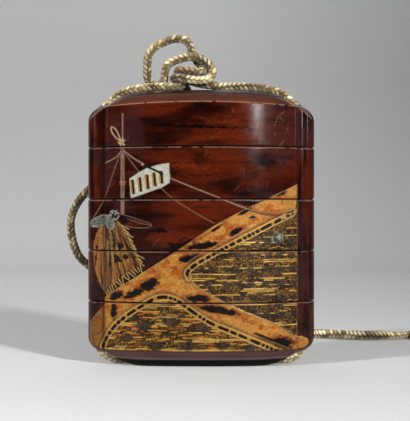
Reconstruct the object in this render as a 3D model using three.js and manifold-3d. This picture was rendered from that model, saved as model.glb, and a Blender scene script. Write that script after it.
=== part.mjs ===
// A lacquered inro: a lid and four stacked cases held together by one cord.
//
// Millimetres, +Z up. The origin is under the middle of the standing underside,
// the decorated front faces -Y, and the cord runs through a channel in each side.

import * as THREE from 'three';
import { mergeVertices } from 'three/addons/utils/BufferGeometryUtils.js';
import Module from 'manifold-3d';

const wasm = await Module();
wasm.setup();

// ---- Driving dimensions ------------------------------------------------

const HEIGHT = 72.4; // underside to the top of the crown
const HALF_WIDTH = 30; // to the outside of a cord runner
const HALF_DEPTH = 12; // centre of the case to its front or back face
const FACE_RADIUS = 60; // curve of the front and back faces, seen from above
const CHEST_HALF_WIDTH = 25.2; // the chest is the case without its cord runners
const CHEST_CORNER_RADIUS = 1.6;
const RUNNER_START = 25.6; // where a runner's half-round begins
const RUNNER_HALF_DEPTH = 4.8;

const SEAM_HEIGHTS = [16.8, 30.2, 43.6, 57.2];
const SEAM_GAP = 0.3;

const RISER_HEIGHT = 4;
const RISER_INSET = 2.2; // outer face of a riser, in from the chest's face
const CAVITY_INSET = 3.3; // inner face of the walls
const SOCKET_INSET = 1.9; // the recess that takes the riser below
const FLOOR_THICKNESS = 1.5;
const BOTTOM_FLOOR_TOP = 4.6;
const CROWN_WALL = 2.2;

const CROWN_EDGE = 68.65; // height of the front edge at the middle of the lid
const CROWN_SHOULDER = 68.6; // height of the ridge where it meets a runner
const CROWN_SPAN = 24.5;
const CROWN_POWER = 5;
const EDGE_FALL = 0.85; // how far the front edge drops towards the runners
const RUNNER_TOP_FALL = 4.6;

const BASE_EDGE = 4.25; // height of the lower front edge
const BASE_FLAT_HALF_WIDTH = 14;
const BASE_FLAT_HALF_DEPTH = 6;
const KEEL_RISE = 3.6; // rise of the underside where it meets a runner
const RUNNER_FOOT_RISE = 4;

const CORD_RADIUS = 1.2;
const CORD_SIDES = 8;
const CHANNEL_RADIUS = 1.6;
const CHANNEL_SIDES = 10;
const CORD_GAP = 0.3;
const LOOP_STEP = 4.6; // length of one straight step of the plain cords
const TAIL_STEP = 5.6;
const KNOT_STEP = 2.8;
const GROOVE_START = 20.5; // the channels cut nothing nearer the middle of the crown

const COIL_CENTRE = [84.5, 56];
const COIL_MEAN_RADIUS = 13;
const COIL_HALF_BAND = 2.4; // two strands lie side by side
const COIL_HEIGHT = 4.9; // and two lie on top of each other
const COIL_SIDES = 24;
const TIE_WIDTH = 3;
const TIE_THICKNESS = 0.7;
const END_KNOT_RADIUS = 2.5;
const END_KNOT_HEIGHT = 4.2;
const END_KNOT_OFFSET = 7.2; // from the coil's centre

const FACE_STEPS = 6; // straight steps along a quarter of the outline
const CORNER_STEPS = 3;
const RUNNER_STEPS = 6;

// ---- Materials ---------------------------------------------------------

const lacquer = new THREE.MeshStandardMaterial({ color: 0x4f1c12, roughness: 0.28 });
const plaited = new THREE.MeshStandardMaterial({ color: 0xcdb88c, roughness: 0.85 });

// ---- Cord routes, chosen by hand ---------------------------------------

// The held loop: from the knot over the left shoulder, down the left channel,
// across the underside, up the right channel and back to the knot.
const LEFT_TO_UNDERSIDE = [
  [-8.8, 0, 73.9], [-13, 0, 73.8], [-17.4, 0, 73.25], [-20, 0, 72.6], [-22.2, 0, 71.5],
  [-24, 0, 69.95], [-25.8, 0, 68.2], [-27, 0, 66.4], [-27.4, 0, 64.2], [-27.4, 0, 59],
  [-27.4, 0, 36], [-27.4, 0, 11], [-27.4, 0, 6.6], [-27, 0, 4.4], [-25.9, 0, 2.7],
  [-24.2, 0, 1.65], [-22, 0, 1.25], [-17, 0, 1.25], [-4.5, 0, 1.25],
];
const UNDERSIDE_TO_RIGHT = [
  [4.5, 0, 1.25], [17, 0, 1.25], [22, 0, 1.25], [24.2, 0, 1.65], [25.9, 0, 2.7],
  [27, 0, 4.4], [27.4, 0, 6.6], [27.4, 0, 11], [27.4, 0, 36], [27.4, 0, 59],
  [27.4, 0, 64.2], [27, 0, 66.4], [25.8, 0, 68.2], [24, 0, 69.95], [22.2, 0, 71.5],
  [20, 0, 72.6], [17.4, 0, 73.25], [13, 0, 73.8], [8.5, 0, 73.95], [4.1, 0, 73.9],
];
const LOOP_ROUTE = [...LEFT_TO_UNDERSIDE, ...UNDERSIDE_TO_RIGHT];

// The knot: two turns round each other, and two loops that stand up from them.
const KNOT_ROUTE = [
  [3.4, 0, 73.9], [1, 0.5, 74.1], [-1.8, 1.9, 74.9], [-4.6, 2.4, 76], [-6.2, 1.1, 77.7],
  [-5.2, -0.7, 77.8], [-2.2, -1.4, 77.4], [0.7, -1, 77.3], [1.9, 0.5, 77.9], [1, 2, 79],
  [-1.2, 2.4, 80.6], [-2.4, 2, 82.6], [-2.9, 1.4, 84.6], [-4.4, 1, 86], [-6.8, 0.8, 86.3],
  [-9.9, 0.8, 85.4], [-12.7, 1, 83.9], [-14.1, 1.3, 81.9], [-14.4, 1.9, 78.4],
  [-14.2, 2.8, 75.6], [-12.1, 3.2, 73.95], [-10.1, 2.9, 75.2], [-9.8, 2.1, 77],
  [-9, 1, 79.2], [-7.3, 0.3, 80.3], [-4.8, -0.2, 81.1], [-2.2, -0.4, 81.4], [0.5, -0.3, 80.6],
  [2.9, -0.1, 79], [4.2, -0.4, 77], [3, -1.3, 75.4], [0.4, -1.9, 75.1], [-3, -1.9, 75.3],
  [-5.8, -1.2, 75.8], [-7.3, 0.7, 76], [-6.8, 2.9, 75.4], [-5, 4.6, 74.5],
];
// The left strand's end, tucked up into the knot.
const TUCKED_END = [[-8.4, 0, 73.85], [-6.4, 0.2, 73.95], [-4.8, 0.8, 74.6], [-3.6, 1.3, 75.6]];

// The free tail: over the back, out past the left side, down and along the floor.
const TAIL_ROUTE = [
  [-4.6, 5.2, 74.3], [-3.9, 8.6, 73.4], [-4, 12.2, 71.5], [-5.4, 14.4, 67.6], [-8.6, 14.3, 62.4],
  [-14, 13.3, 57.2], [-21.5, 12.2, 52.6], [-28, 11.6, 48.6], [-33.2, 11.4, 43.8],
  [-35.7, 11.4, 38.6], [-35.6, 11.6, 33.6], [-33.8, 12.2, 28.2], [-29.6, 13.6, 24.2],
  [-23.5, 16.8, 19.4], [-18, 21.4, 13], [-13.2, 27, 6.6], [-8, 34, 2.4], [-1.6, 42, 1.25],
  [7, 51, 1.25], [17, 59.5, 1.25], [27, 65.6, 1.25], [36, 66.8, 1.25], [44, 63.6, 1.25],
  [51, 61.4, 1.25], [58.4, 62.6, 1.25], [66.4, 66.4, 1.25], [73, 69, 1.25],
];

// ---- Outline of the case, seen from above ------------------------------

const faceCentre = HALF_DEPTH - FACE_RADIUS;
const runnerReach = HALF_WIDTH - RUNNER_START;

function faceDepth(x) {
  return faceCentre + Math.sqrt(FACE_RADIUS ** 2 - x ** 2);
}

// The chest's corner is an arc that touches the face and the chest's side.
const cornerX = CHEST_HALF_WIDTH - CHEST_CORNER_RADIUS;
const cornerTouchX = cornerX * FACE_RADIUS / (FACE_RADIUS - CHEST_CORNER_RADIUS);
const cornerTouchAngle = Math.acos(cornerTouchX / FACE_RADIUS);
const cornerY = faceDepth(cornerTouchX) - CHEST_CORNER_RADIUS * Math.sin(cornerTouchAngle);

// Half the thickness of the case at a distance x from its middle.
function halfDepth(x) {
  const side = Math.abs(x);
  if (side <= cornerTouchX) return faceDepth(side);
  if (side <= CHEST_HALF_WIDTH) {
    return cornerY + Math.sqrt(Math.max(0, CHEST_CORNER_RADIUS ** 2 - (side - cornerX) ** 2));
  }
  const along = Math.max(0, (side - RUNNER_START) / runnerReach);
  return RUNNER_HALF_DEPTH * Math.sqrt(Math.max(0, 1 - along ** 2));
}

// A quarter of the outline, from the middle of a face to the side of a runner.
function quarterOutline() {
  const points = [];
  for (let i = 0; i < FACE_STEPS; i++) {
    const x = cornerTouchX * i / FACE_STEPS;
    points.push([x, faceDepth(x)]);
  }
  for (let i = 0; i <= CORNER_STEPS; i++) {
    const angle = cornerTouchAngle * (1 - i / CORNER_STEPS);
    const x = cornerX + CHEST_CORNER_RADIUS * Math.cos(angle);
    points.push([x, cornerY + CHEST_CORNER_RADIUS * Math.sin(angle)]);
  }
  points.push([CHEST_HALF_WIDTH, RUNNER_HALF_DEPTH]);
  for (let i = 0; i <= RUNNER_STEPS; i++) {
    const angle = Math.PI / 2 * (1 - i / RUNNER_STEPS);
    const x = RUNNER_START + runnerReach * Math.cos(angle);
    points.push([x, RUNNER_HALF_DEPTH * Math.sin(angle)]);
  }
  return points;
}

// The whole outline, counter-clockwise from the right-hand runner's side.
function mirroredOutline(quarter) {
  const rising = [...quarter].reverse();
  const backLeft = quarter.slice(1).map(([x, y]) => [-x, y]);
  const frontLeft = rising.slice(1, -1).map(([x, y]) => [-x, -y]);
  const frontRight = quarter.slice(0, -1).map(([x, y]) => [x, -y]);
  return [...rising, ...backLeft, ...frontLeft, ...frontRight];
}

// The chest's outline drawn in by an inset, for the walls inside the case.
function innerOutline(inset) {
  const width = CHEST_HALF_WIDTH - inset;
  const radius = FACE_RADIUS - inset;
  const corner = CHEST_CORNER_RADIUS;
  const arcX = width - corner;
  const touchX = arcX * radius / (radius - corner);
  const touchAngle = Math.acos(touchX / radius);
  const depthAt = (x) => faceCentre + Math.sqrt(radius ** 2 - x ** 2);
  const arcY = depthAt(touchX) - corner * Math.sin(touchAngle);
  const quarter = [];
  for (let i = 0; i < FACE_STEPS; i++) {
    const x = touchX * i / FACE_STEPS;
    quarter.push([x, depthAt(x)]);
  }
  for (let i = 0; i <= CORNER_STEPS; i++) {
    const angle = touchAngle * (1 - i / CORNER_STEPS);
    quarter.push([arcX + corner * Math.cos(angle), arcY + corner * Math.sin(angle)]);
  }
  quarter.push([width, 0]);
  return mirroredOutline(quarter);
}

// ---- Heights of the crown and the underside ----------------------------

function pastChest(x) {
  return Math.max(0, (Math.abs(x) - CROWN_SPAN) / (HALF_WIDTH - CROWN_SPAN));
}

function roundFall(share) {
  return 1 - Math.sqrt(Math.max(0, 1 - share ** 2));
}

function crownRidge(x) {
  const side = Math.min(Math.abs(x), CROWN_SPAN) / CROWN_SPAN;
  const rise = (HEIGHT - CROWN_SHOULDER) * (1 - side ** CROWN_POWER);
  const past = pastChest(x);
  return CROWN_SHOULDER + rise - RUNNER_TOP_FALL * (0.87 * roundFall(past) + 0.13 * past);
}

function crownEdge(x) {
  const side = Math.min(Math.abs(x), CROWN_SPAN) / CROWN_SPAN;
  const lowest = CROWN_SHOULDER - RUNNER_TOP_FALL;
  const chestEnd = CROWN_EDGE - EDGE_FALL;
  const past = pastChest(x) ** 1.4;
  return CROWN_EDGE - EDGE_FALL * side ** 2 - (chestEnd - lowest) * past;
}

// Share of the way from the middle plane to the face, at one point.
function depthShare(x, y) {
  return Math.min(1, Math.abs(y) / Math.max(halfDepth(x), 1e-6));
}

function crownHeight(x, y) {
  const edge = crownEdge(x);
  return edge + (crownRidge(x) - edge) * (1 - depthShare(x, y) ** 3);
}

function keelHeight(x) {
  const chest = Math.min(Math.abs(x), RUNNER_START);
  const rise = Math.max(0, (chest - BASE_FLAT_HALF_WIDTH) / (RUNNER_START - BASE_FLAT_HALF_WIDTH));
  const past = Math.max(0, (Math.abs(x) - RUNNER_START) / runnerReach);
  return KEEL_RISE * rise ** 2.1 + RUNNER_FOOT_RISE * roundFall(past);
}

function baseEdge(x) {
  const past = Math.max(0, (Math.abs(x) - RUNNER_START) / runnerReach);
  return BASE_EDGE + (KEEL_RISE + RUNNER_FOOT_RISE - BASE_EDGE) * roundFall(past);
}

function baseHeight(x, y) {
  const flat = BASE_FLAT_HALF_DEPTH * halfDepth(x) / HALF_DEPTH;
  const beyond = Math.max(0, Math.abs(y) - flat) / Math.max(halfDepth(x) - flat, 1e-6);
  const keel = keelHeight(x);
  return keel + (baseEdge(x) - keel) * Math.min(1, beyond) ** 2.1;
}

// ---- Making solids -----------------------------------------------------

function toSolid(geometry) {
  const bare = geometry.clone();
  bare.deleteAttribute('normal');
  bare.deleteAttribute('uv');
  const merged = mergeVertices(bare, 1e-5);
  return new wasm.Manifold(new wasm.Mesh({
    numProp: 3,
    vertProperties: Float32Array.from(merged.attributes.position.array),
    triVerts: Uint32Array.from(merged.index.array),
  }));
}

function toGeometry(solid) {
  const { vertProperties, triVerts } = solid.getMesh();
  const geometry = new THREE.BufferGeometry();
  geometry.setAttribute('position', new THREE.BufferAttribute(vertProperties, 3));
  geometry.setIndex(new THREE.BufferAttribute(triVerts, 1));
  geometry.computeVertexNormals();
  return geometry;
}

// A closed skin through rings of points, from the lowest ring to the highest.
function ringSolid(rings, lowCentre, highCentre) {
  const count = rings[0].length;
  const positions = [...rings.flat(), lowCentre, highCentre].flat();
  const low = rings.length * count;
  const high = low + 1;
  const last = (rings.length - 1) * count;
  const index = [];
  for (let i = 0; i < count; i++) {
    const next = (i + 1) % count;
    index.push(low, next, i, high, last + i, last + next);
    for (let ring = 0; ring < rings.length - 1; ring++) {
      const a = ring * count;
      const b = a + count;
      index.push(a + i, a + next, b + next, a + i, b + next, b + i);
    }
  }
  const geometry = new THREE.BufferGeometry();
  geometry.setAttribute('position', new THREE.Float32BufferAttribute(positions, 3));
  geometry.setIndex(index);
  return toSolid(geometry);
}

function prism(outline, low, high) {
  const shape = new THREE.Shape(outline.map(([x, y]) => new THREE.Vector2(x, y)));
  const geometry = new THREE.ExtrudeGeometry(shape, { depth: high - low, bevelEnabled: false });
  geometry.translate(0, 0, low);
  return toSolid(geometry);
}

function ringAt(outline, scale, height) {
  return outline.map(([x, y]) => [x * scale, y * scale, height(x * scale, y * scale)]);
}

function routeCurve(route) {
  return new THREE.CatmullRomCurve3(route.map((point) => new THREE.Vector3(...point)));
}

function roundSection(radius, sides) {
  const points = [];
  for (let i = 0; i < sides; i++) {
    const angle = 2 * Math.PI * (i + 0.5) / sides;
    points.push(new THREE.Vector2(radius * Math.cos(angle), radius * Math.sin(angle)));
  }
  return new THREE.Shape(points);
}

function tube(route, radius, sides, stepLength) {
  const extrudePath = routeCurve(route);
  const steps = Math.ceil(extrudePath.getLength() / stepLength);
  const section = roundSection(radius, sides);
  return new THREE.ExtrudeGeometry(section, { steps, bevelEnabled: false, extrudePath });
}

// ---- The lid and the cases ---------------------------------------------

const outline = mirroredOutline(quarterOutline());
const socketOutline = innerOutline(SOCKET_INSET);
const riserOutline = innerOutline(RISER_INSET);
const cavityOutline = innerOutline(CAVITY_INSET);
const channel = makeChannel();
const halfSeam = SEAM_GAP / 2;
const socketDepth = RISER_HEIGHT + SEAM_GAP;

// The room that the loop needs: a bore down each runner, open on the shoulders,
// and a groove across the underside.
function makeChannel() {
  const middle = new THREE.BoxGeometry(2 * GROOVE_START, HALF_DEPTH, HEIGHT);
  middle.translate(0, 0, HEIGHT);
  const room = toSolid(tube(LOOP_ROUTE, CHANNEL_RADIUS, CHANNEL_SIDES, LOOP_STEP));
  return room.subtract(toSolid(middle));
}

function lidBody(low) {
  const level = () => low;
  const rings = [ringAt(outline, 1, level)];
  for (const scale of [1, 0.97, 0.9, 0.78, 0.6, 0.35]) {
    rings.push(ringAt(outline, scale, crownHeight));
  }
  return ringSolid(rings, [0, 0, low], [0, 0, HEIGHT]);
}

function lidHollow(low) {
  const ceiling = (x, y) => crownHeight(x, y) - CROWN_WALL;
  const rings = [ringAt(cavityOutline, 1, () => low)];
  for (const scale of [1, 0.85, 0.55]) {
    rings.push(ringAt(cavityOutline, scale, ceiling));
  }
  return ringSolid(rings, [0, 0, low], [0, 0, HEIGHT - CROWN_WALL]);
}

function makeLid(seam) {
  const low = seam + halfSeam;
  return lidBody(low)
    .subtract(prism(socketOutline, low - 1, low + socketDepth))
    .subtract(lidHollow(low - 1))
    .subtract(channel);
}

function riser(low, high) {
  return prism(riserOutline, low, high).subtract(prism(cavityOutline, low - 1, high + 1));
}

function makeCase(lowSeam, highSeam) {
  const low = lowSeam + halfSeam;
  const high = highSeam - halfSeam;
  const floorTop = low + socketDepth + FLOOR_THICKNESS;
  return prism(outline, low, high)
    .subtract(prism(socketOutline, low - 1, low + socketDepth))
    .subtract(prism(cavityOutline, floorTop, high + 1))
    .add(riser(floorTop, high + RISER_HEIGHT))
    .subtract(channel);
}

function makeBottomCase(seam) {
  const high = seam - halfSeam;
  const rings = [];
  for (const scale of [0.45, 0.66, 0.82, 0.93, 1]) {
    rings.push(ringAt(outline, scale, baseHeight));
  }
  rings.push(ringAt(outline, 1, () => high));
  return ringSolid(rings, [0, 0, 0], [0, 0, high])
    .subtract(prism(cavityOutline, BOTTOM_FLOOR_TOP, high + 1))
    .add(riser(BOTTOM_FLOOR_TOP, high + RISER_HEIGHT))
    .subtract(channel);
}

// ---- The cord ----------------------------------------------------------

function makeKnot() {
  const half = Math.ceil(KNOT_ROUTE.length / 2);
  const parts = [KNOT_ROUTE.slice(0, half), KNOT_ROUTE.slice(half - 1), TUCKED_END];
  const radius = CORD_RADIUS - 0.1;
  return parts
    .map((route) => toSolid(tube(route, radius, CORD_SIDES, KNOT_STEP)))
    .reduce((whole, part) => whole.add(part));
}

function coilRing() {
  const inner = COIL_MEAN_RADIUS - COIL_HALF_BAND;
  const outer = COIL_MEAN_RADIUS + COIL_HALF_BAND;
  const bevel = 0.8;
  const profile = [
    [inner, bevel], [inner + bevel, 0.05], [outer - bevel, 0.05], [outer, bevel],
    [outer, COIL_HEIGHT - bevel], [outer - bevel, COIL_HEIGHT],
    [inner + bevel, COIL_HEIGHT], [inner, COIL_HEIGHT - bevel], [inner, bevel],
  ];
  const points = profile.map(([r, z]) => new THREE.Vector2(r, z));
  const ring = new THREE.LatheGeometry(points, COIL_SIDES).rotateX(Math.PI / 2);
  return ring.translate(COIL_CENTRE[0], COIL_CENTRE[1], 0);
}

// A band over the coil: its section is a low arch that stands on the floor.
function coilTie() {
  const reach = COIL_HALF_BAND + CORD_GAP;
  const top = COIL_HEIGHT + CORD_GAP;
  const shape = new THREE.Shape([
    [-reach - TIE_THICKNESS, 0], [-reach, 0], [-reach, top], [reach, top], [reach, 0],
    [reach + TIE_THICKNESS, 0], [reach + TIE_THICKNESS, top + TIE_THICKNESS],
    [-reach - TIE_THICKNESS, top + TIE_THICKNESS],
  ].map(([r, z]) => new THREE.Vector2(r, z)));
  const band = new THREE.ExtrudeGeometry(shape, { depth: TIE_WIDTH, bevelEnabled: false });
  band.translate(0, 0, -TIE_WIDTH / 2).rotateX(Math.PI / 2);
  return band.translate(COIL_CENTRE[0] + COIL_MEAN_RADIUS, COIL_CENTRE[1], 0);
}

function endKnot() {
  const knot = new THREE.SphereGeometry(END_KNOT_RADIUS, 10, 6).rotateX(Math.PI / 2);
  knot.scale(1, 1, END_KNOT_HEIGHT / (2 * END_KNOT_RADIUS));
  return knot.translate(COIL_CENTRE[0], COIL_CENTRE[1] - END_KNOT_OFFSET, END_KNOT_HEIGHT / 2);
}

// ---- The scene graph ---------------------------------------------------

const inro = new THREE.Group();

function addPiece(name, geometry, material) {
  const mesh = new THREE.Mesh(geometry, material);
  mesh.name = name;
  inro.add(mesh);
}

const [bottomSeam, lowSeam, highSeam, lidSeam] = SEAM_HEIGHTS;
addPiece('lid', toGeometry(makeLid(lidSeam)), lacquer);
addPiece('upper_case', toGeometry(makeCase(highSeam, lidSeam)), lacquer);
addPiece('middle_case', toGeometry(makeCase(lowSeam, highSeam)), lacquer);
addPiece('lower_case', toGeometry(makeCase(bottomSeam, lowSeam)), lacquer);
addPiece('bottom_case', toGeometry(makeBottomCase(bottomSeam)), lacquer);
addPiece('cord_loop', tube(LOOP_ROUTE, CORD_RADIUS, CORD_SIDES, LOOP_STEP), plaited);
addPiece('cord_knot', toGeometry(makeKnot()), plaited);
addPiece('cord_tail', tube(TAIL_ROUTE, CORD_RADIUS, CORD_SIDES, TAIL_STEP), plaited);
addPiece('cord_coil', coilRing(), plaited);
addPiece('coil_tie', coilTie(), plaited);
addPiece('cord_end_knot', endKnot(), plaited);

export default inro;
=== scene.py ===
"""The looks of a lacquered inro and its plaited cord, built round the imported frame.

Lengths are millimetres until a mesh is made. The front faces -Y and the top is +Z.
"""
import itertools
import math

import bmesh
import bpy
import numpy as np
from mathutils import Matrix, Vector


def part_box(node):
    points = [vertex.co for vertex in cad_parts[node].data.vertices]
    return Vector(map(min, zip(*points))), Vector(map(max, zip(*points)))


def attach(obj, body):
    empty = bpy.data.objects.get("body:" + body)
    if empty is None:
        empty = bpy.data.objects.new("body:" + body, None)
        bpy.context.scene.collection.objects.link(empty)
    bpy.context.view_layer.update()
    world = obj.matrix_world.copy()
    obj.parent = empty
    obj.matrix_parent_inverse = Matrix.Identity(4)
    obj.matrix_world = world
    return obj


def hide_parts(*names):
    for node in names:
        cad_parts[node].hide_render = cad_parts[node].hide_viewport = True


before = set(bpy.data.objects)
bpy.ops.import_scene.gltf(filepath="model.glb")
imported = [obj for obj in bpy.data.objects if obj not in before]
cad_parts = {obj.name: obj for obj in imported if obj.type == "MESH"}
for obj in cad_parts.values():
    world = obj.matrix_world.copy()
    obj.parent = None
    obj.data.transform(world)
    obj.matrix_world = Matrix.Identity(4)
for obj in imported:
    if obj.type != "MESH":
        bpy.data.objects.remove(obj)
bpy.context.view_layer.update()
scene = bpy.context.scene
MM = 0.001


# ---- Repeatable noise and small helpers --------------------------------

def hashed(seed, *cells):
    """A repeatable value from 0 to 1 for each whole-numbered cell."""
    h = np.full(np.shape(cells[0]), seed * 7919 + 97, np.uint64)
    for c in cells:
        h = (h ^ np.asarray(c).astype(np.int64).astype(np.uint64)) * np.uint64(0x9E3779B97F4A7C15)
        h ^= h >> np.uint64(31)
    return (h & np.uint64(0xFFFFFF)).astype(float) / 0xFFFFFF


def pick(seed, cell):
    return float(hashed(seed, np.array(cell)))


def noise(seed, *at):
    """Smooth noise from 0 to 1 whose cells are one unit wide."""
    base = [np.floor(v) for v in at]
    part = [v - b for v, b in zip(at, base)]
    part = [t * t * (3 - 2 * t) for t in part]
    total = 0
    for corner in itertools.product((0, 1), repeat=len(at)):
        weight = 1
        for t, c in zip(part, corner):
            weight = weight * (t if c else 1 - t)
        total = total + weight * hashed(seed, *[b + c for b, c in zip(base, corner)])
    return total


def clouds(seed, *at, octaves=4):
    """Layered noise, about 0.2 to 0.8."""
    total = sum(noise(seed + k, *[v * 2**k for v in at]) / 2**k for k in range(octaves))
    return total / sum(1 / 2**k for k in range(octaves))


def ramp(v, low, high):
    """0 below low, 1 above high, and smooth between them. low may be above high."""
    t = np.clip((v - low) / (high - low), 0, 1)
    return t * t * (3 - 2 * t)


def linear(*rgb):
    """A colour on the 0 to 255 display scale as linear light."""
    c = np.array(rgb, float) / 255
    return np.where(c <= 0.04045, c / 12.92, ((c + 0.055) / 1.055) ** 2.4)


def blend(low, high, share):
    """Colours from low to high, one for each share."""
    return low + (high - low) * share[..., None]


def paint(mesh, name, values):
    """Stores three numbers a vertex as a colour attribute."""
    rgba = np.ones((len(mesh.vertices), 4), np.float32)
    rgba[:, :3] = values
    layer = mesh.attributes.new(name, "FLOAT_COLOR", "POINT")
    layer.data.foreach_set("color", rgba.ravel())


def make(name, points, faces, material, smooth=True):
    """A mesh object from points in millimetres."""
    mesh = bpy.data.meshes.new(name)
    mesh.from_pydata((np.asarray(points, float) * MM).tolist(), [], faces)
    mesh.update()
    if smooth:
        mesh.shade_smooth()
    piece = bpy.data.objects.new(name, mesh)
    scene.collection.objects.link(piece)
    if material:
        mesh.materials.append(material)
    return piece


def grid_faces(rows, columns, closed=True, start=0):
    """Quads of a grid of points stored row by row. closed joins the last column to the first."""
    r, c = np.meshgrid(np.arange(rows - 1), np.arange(columns if closed else columns - 1), indexing="ij")
    n = (c + 1) % columns
    quads = np.stack([r * columns + c, r * columns + n, (r + 1) * columns + n, (r + 1) * columns + c], -1)
    return (quads.reshape(-1, 4) + start).tolist()


# ---- Material nodes ----------------------------------------------------

class Nodes:
    """Short names for building one node material."""

    def __init__(self, name):
        self.material = bpy.data.materials.new(name)
        self.material.use_nodes = True
        self.tree = self.material.node_tree
        self.shader = self.tree.nodes["Principled BSDF"]

    def add(self, kind, inputs=None, **settings):
        node = self.tree.nodes.new(kind)
        for key, value in settings.items():
            setattr(node, key, value)
        for key, value in (inputs or {}).items():
            self.put(node.inputs[key], value)
        return node

    def put(self, socket, value):
        if isinstance(value, bpy.types.NodeSocket):
            self.tree.links.new(value, socket)
        else:
            socket.default_value = value

    def attribute(self, name):
        return self.add("ShaderNodeAttribute", attribute_name=name).outputs["Color"]

    def parts(self, colour):
        return self.add("ShaderNodeSeparateColor", {"Color": colour}).outputs

    def math(self, operation, a, b=0.0, c=0.0):
        return self.add("ShaderNodeMath", {0: a, 1: b, 2: c}, operation=operation).outputs[0]

    def noise(self, scale, detail=3.0, stretch=(1, 1, 1), roughness=0.6):
        place = self.add("ShaderNodeTexCoord").outputs["Object"]
        if stretch != (1, 1, 1):
            place = self.add("ShaderNodeMapping", {"Vector": place, "Scale": stretch}).outputs[0]
        return self.add("ShaderNodeTexNoise", {"Vector": place, "Scale": scale, "Detail": detail,
                                               "Roughness": roughness}).outputs["Fac"]

    def between(self, value, low, high, new_low=0.0, new_high=1.0):
        return self.add("ShaderNodeMapRange", {0: value, 1: low, 2: high, 3: new_low, 4: new_high}).outputs[0]

    def mix(self, factor, a, b, blend="MIX"):
        node = self.add("ShaderNodeMix", data_type="RGBA", blend_type=blend)
        for socket, value in ((node.inputs[0], factor), (node.inputs[6], a), (node.inputs[7], b)):
            self.put(socket, value)
        return node.outputs[2]

    def bump(self, height, strength, distance, normal=None):
        node = self.add("ShaderNodeBump", {"Height": height, "Strength": strength, "Distance": distance})
        if normal:
            self.put(node.inputs["Normal"], normal)
        return node.outputs[0]

    def finish(self, **inputs):
        for key, value in inputs.items():
            self.put(self.shader.inputs[key.replace("_", " ")], value)
        return self.material


def cord_material():
    n = Nodes("plaited_cord")
    tone = n.attribute("tone")
    fibre = n.noise(2600, 4.0)
    patch = n.noise(140, 2.0)
    colour = n.mix(n.between(fibre, 0.3, 0.7, 0.0, 0.6), tone, (0.50, 0.42, 0.30, 1), "MULTIPLY")
    colour = n.mix(n.between(patch, 0.35, 0.7, 0.0, 0.45), colour, (0.72, 0.62, 0.45, 1), "MULTIPLY")
    return n.finish(Base_Color=colour, Roughness=n.between(fibre, 0.2, 0.8, 0.62, 0.9),
                    Specular_IOR_Level=0.35, Sheen_Weight=0.25, Sheen_Roughness=0.5,
                    Normal=n.bump(fibre, 0.6, 0.00016))


# ---- The cord ----------------------------------------------------------

CORD_RADIUS = 1.2
CORD_STEP = 0.27  # between the points that a cord is drawn through
LOOP_START = [[-4.4, 1.2, 75.2], [-5.4, 0.7, 74.4], [-6.8, 0.2, 73.95], [-8.8, 0, 73.9]]
LOOP_SIDE = [  # x and z from the crown, down one runner and to the middle of the underside
    (13, 73.8), (17.4, 73.25), (20, 72.6), (22.2, 71.5), (24, 69.95), (25.8, 68.2), (27, 66.4), (27.4, 64.2),
    (27.4, 59), (27.4, 36), (27.4, 11), (27.4, 6.6), (27, 4.4), (25.9, 2.7), (24.2, 1.65), (22, 1.25),
    (17, 1.25), (4.5, 1.25)]
LOOP_END = [[8.5, 0, 73.95], [4.1, 0, 73.9], [2.6, 0.1, 73.95]]
LOOP_ROUTE = (LOOP_START + [[-x, 0, z] for x, z in LOOP_SIDE]
              + [[x, 0, z] for x, z in reversed(LOOP_SIDE)] + LOOP_END)
KNOT_ROUTE = [
    [4.4, 0, 73.9], [1, 0.5, 74.1], [-1.8, 1.9, 74.9], [-4.6, 2.4, 76], [-6.2, 1.1, 77.7], [-5.2, -0.7, 77.8],
    [-2.2, -1.4, 77.4], [-0.2, -1, 77.3], [0.9, 0.5, 77.9], [0.2, 2, 79], [-1.2, 2.4, 80.6], [-2.4, 2, 82.6],
    [-2.9, 1.4, 84.6], [-4.4, 1, 86], [-6.8, 0.8, 86.3], [-9.9, 0.8, 85.4], [-12.7, 1, 83.9],
    [-14.1, 1.3, 81.9], [-14.4, 1.9, 78.4], [-14.2, 2.8, 75.6], [-12.1, 3.2, 73.95], [-10.1, 2.9, 75.2],
    [-9.8, 2.1, 77], [-9, 1, 79.2], [-7.3, 0.3, 80.3], [-4.8, -0.2, 81.1], [-2.2, -0.4, 81.4],
    [0.2, -0.3, 80.7], [2.1, -0.1, 79.2], [3.0, -0.4, 77.2], [2.2, -1.3, 75.5], [0.1, -1.9, 75.1],
    [-3, -1.9, 75.3], [-5.8, -1.2, 75.8], [-7.3, 0.7, 76], [-6.8, 2.9, 75.4], [-5, 4.6, 74.5],
    [-4.4, 5.9, 74.2]]
TAIL_ROUTE = [
    [-4.6, 5.2, 74.3], [-3.9, 8.6, 73.4], [-4, 12.2, 71.5], [-5.4, 14.4, 67.6], [-8.6, 14.3, 62.4],
    [-14, 13.3, 57.2], [-21.5, 12.2, 52.6], [-28, 11.6, 48.6], [-33.2, 11.4, 43.8], [-35.7, 11.4, 38.6],
    [-35.6, 11.6, 33.6], [-33.8, 12.2, 28.2], [-29.6, 13.6, 24.2], [-23.5, 16.8, 19.4], [-18, 21.4, 13],
    [-13.2, 27, 6.6], [-8, 34, 2.4], [-1.6, 42, 1.25], [7, 51, 1.25], [17, 59.5, 1.25], [27, 65.6, 1.25],
    [36, 66.8, 1.25], [44, 63.6, 1.25], [51, 61.4, 1.25], [58.4, 62.6, 1.25], [66.4, 66.4, 1.25],
    [73, 69, 1.25]]
COIL_CENTRE = (84.5, 56)
COIL_TRACKS = (11.8, 14.2)  # the radii of the two strands that lie side by side
COIL_LAYERS = (1.25, 3.65)  # the heights of the two strands that lie on each other
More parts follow.
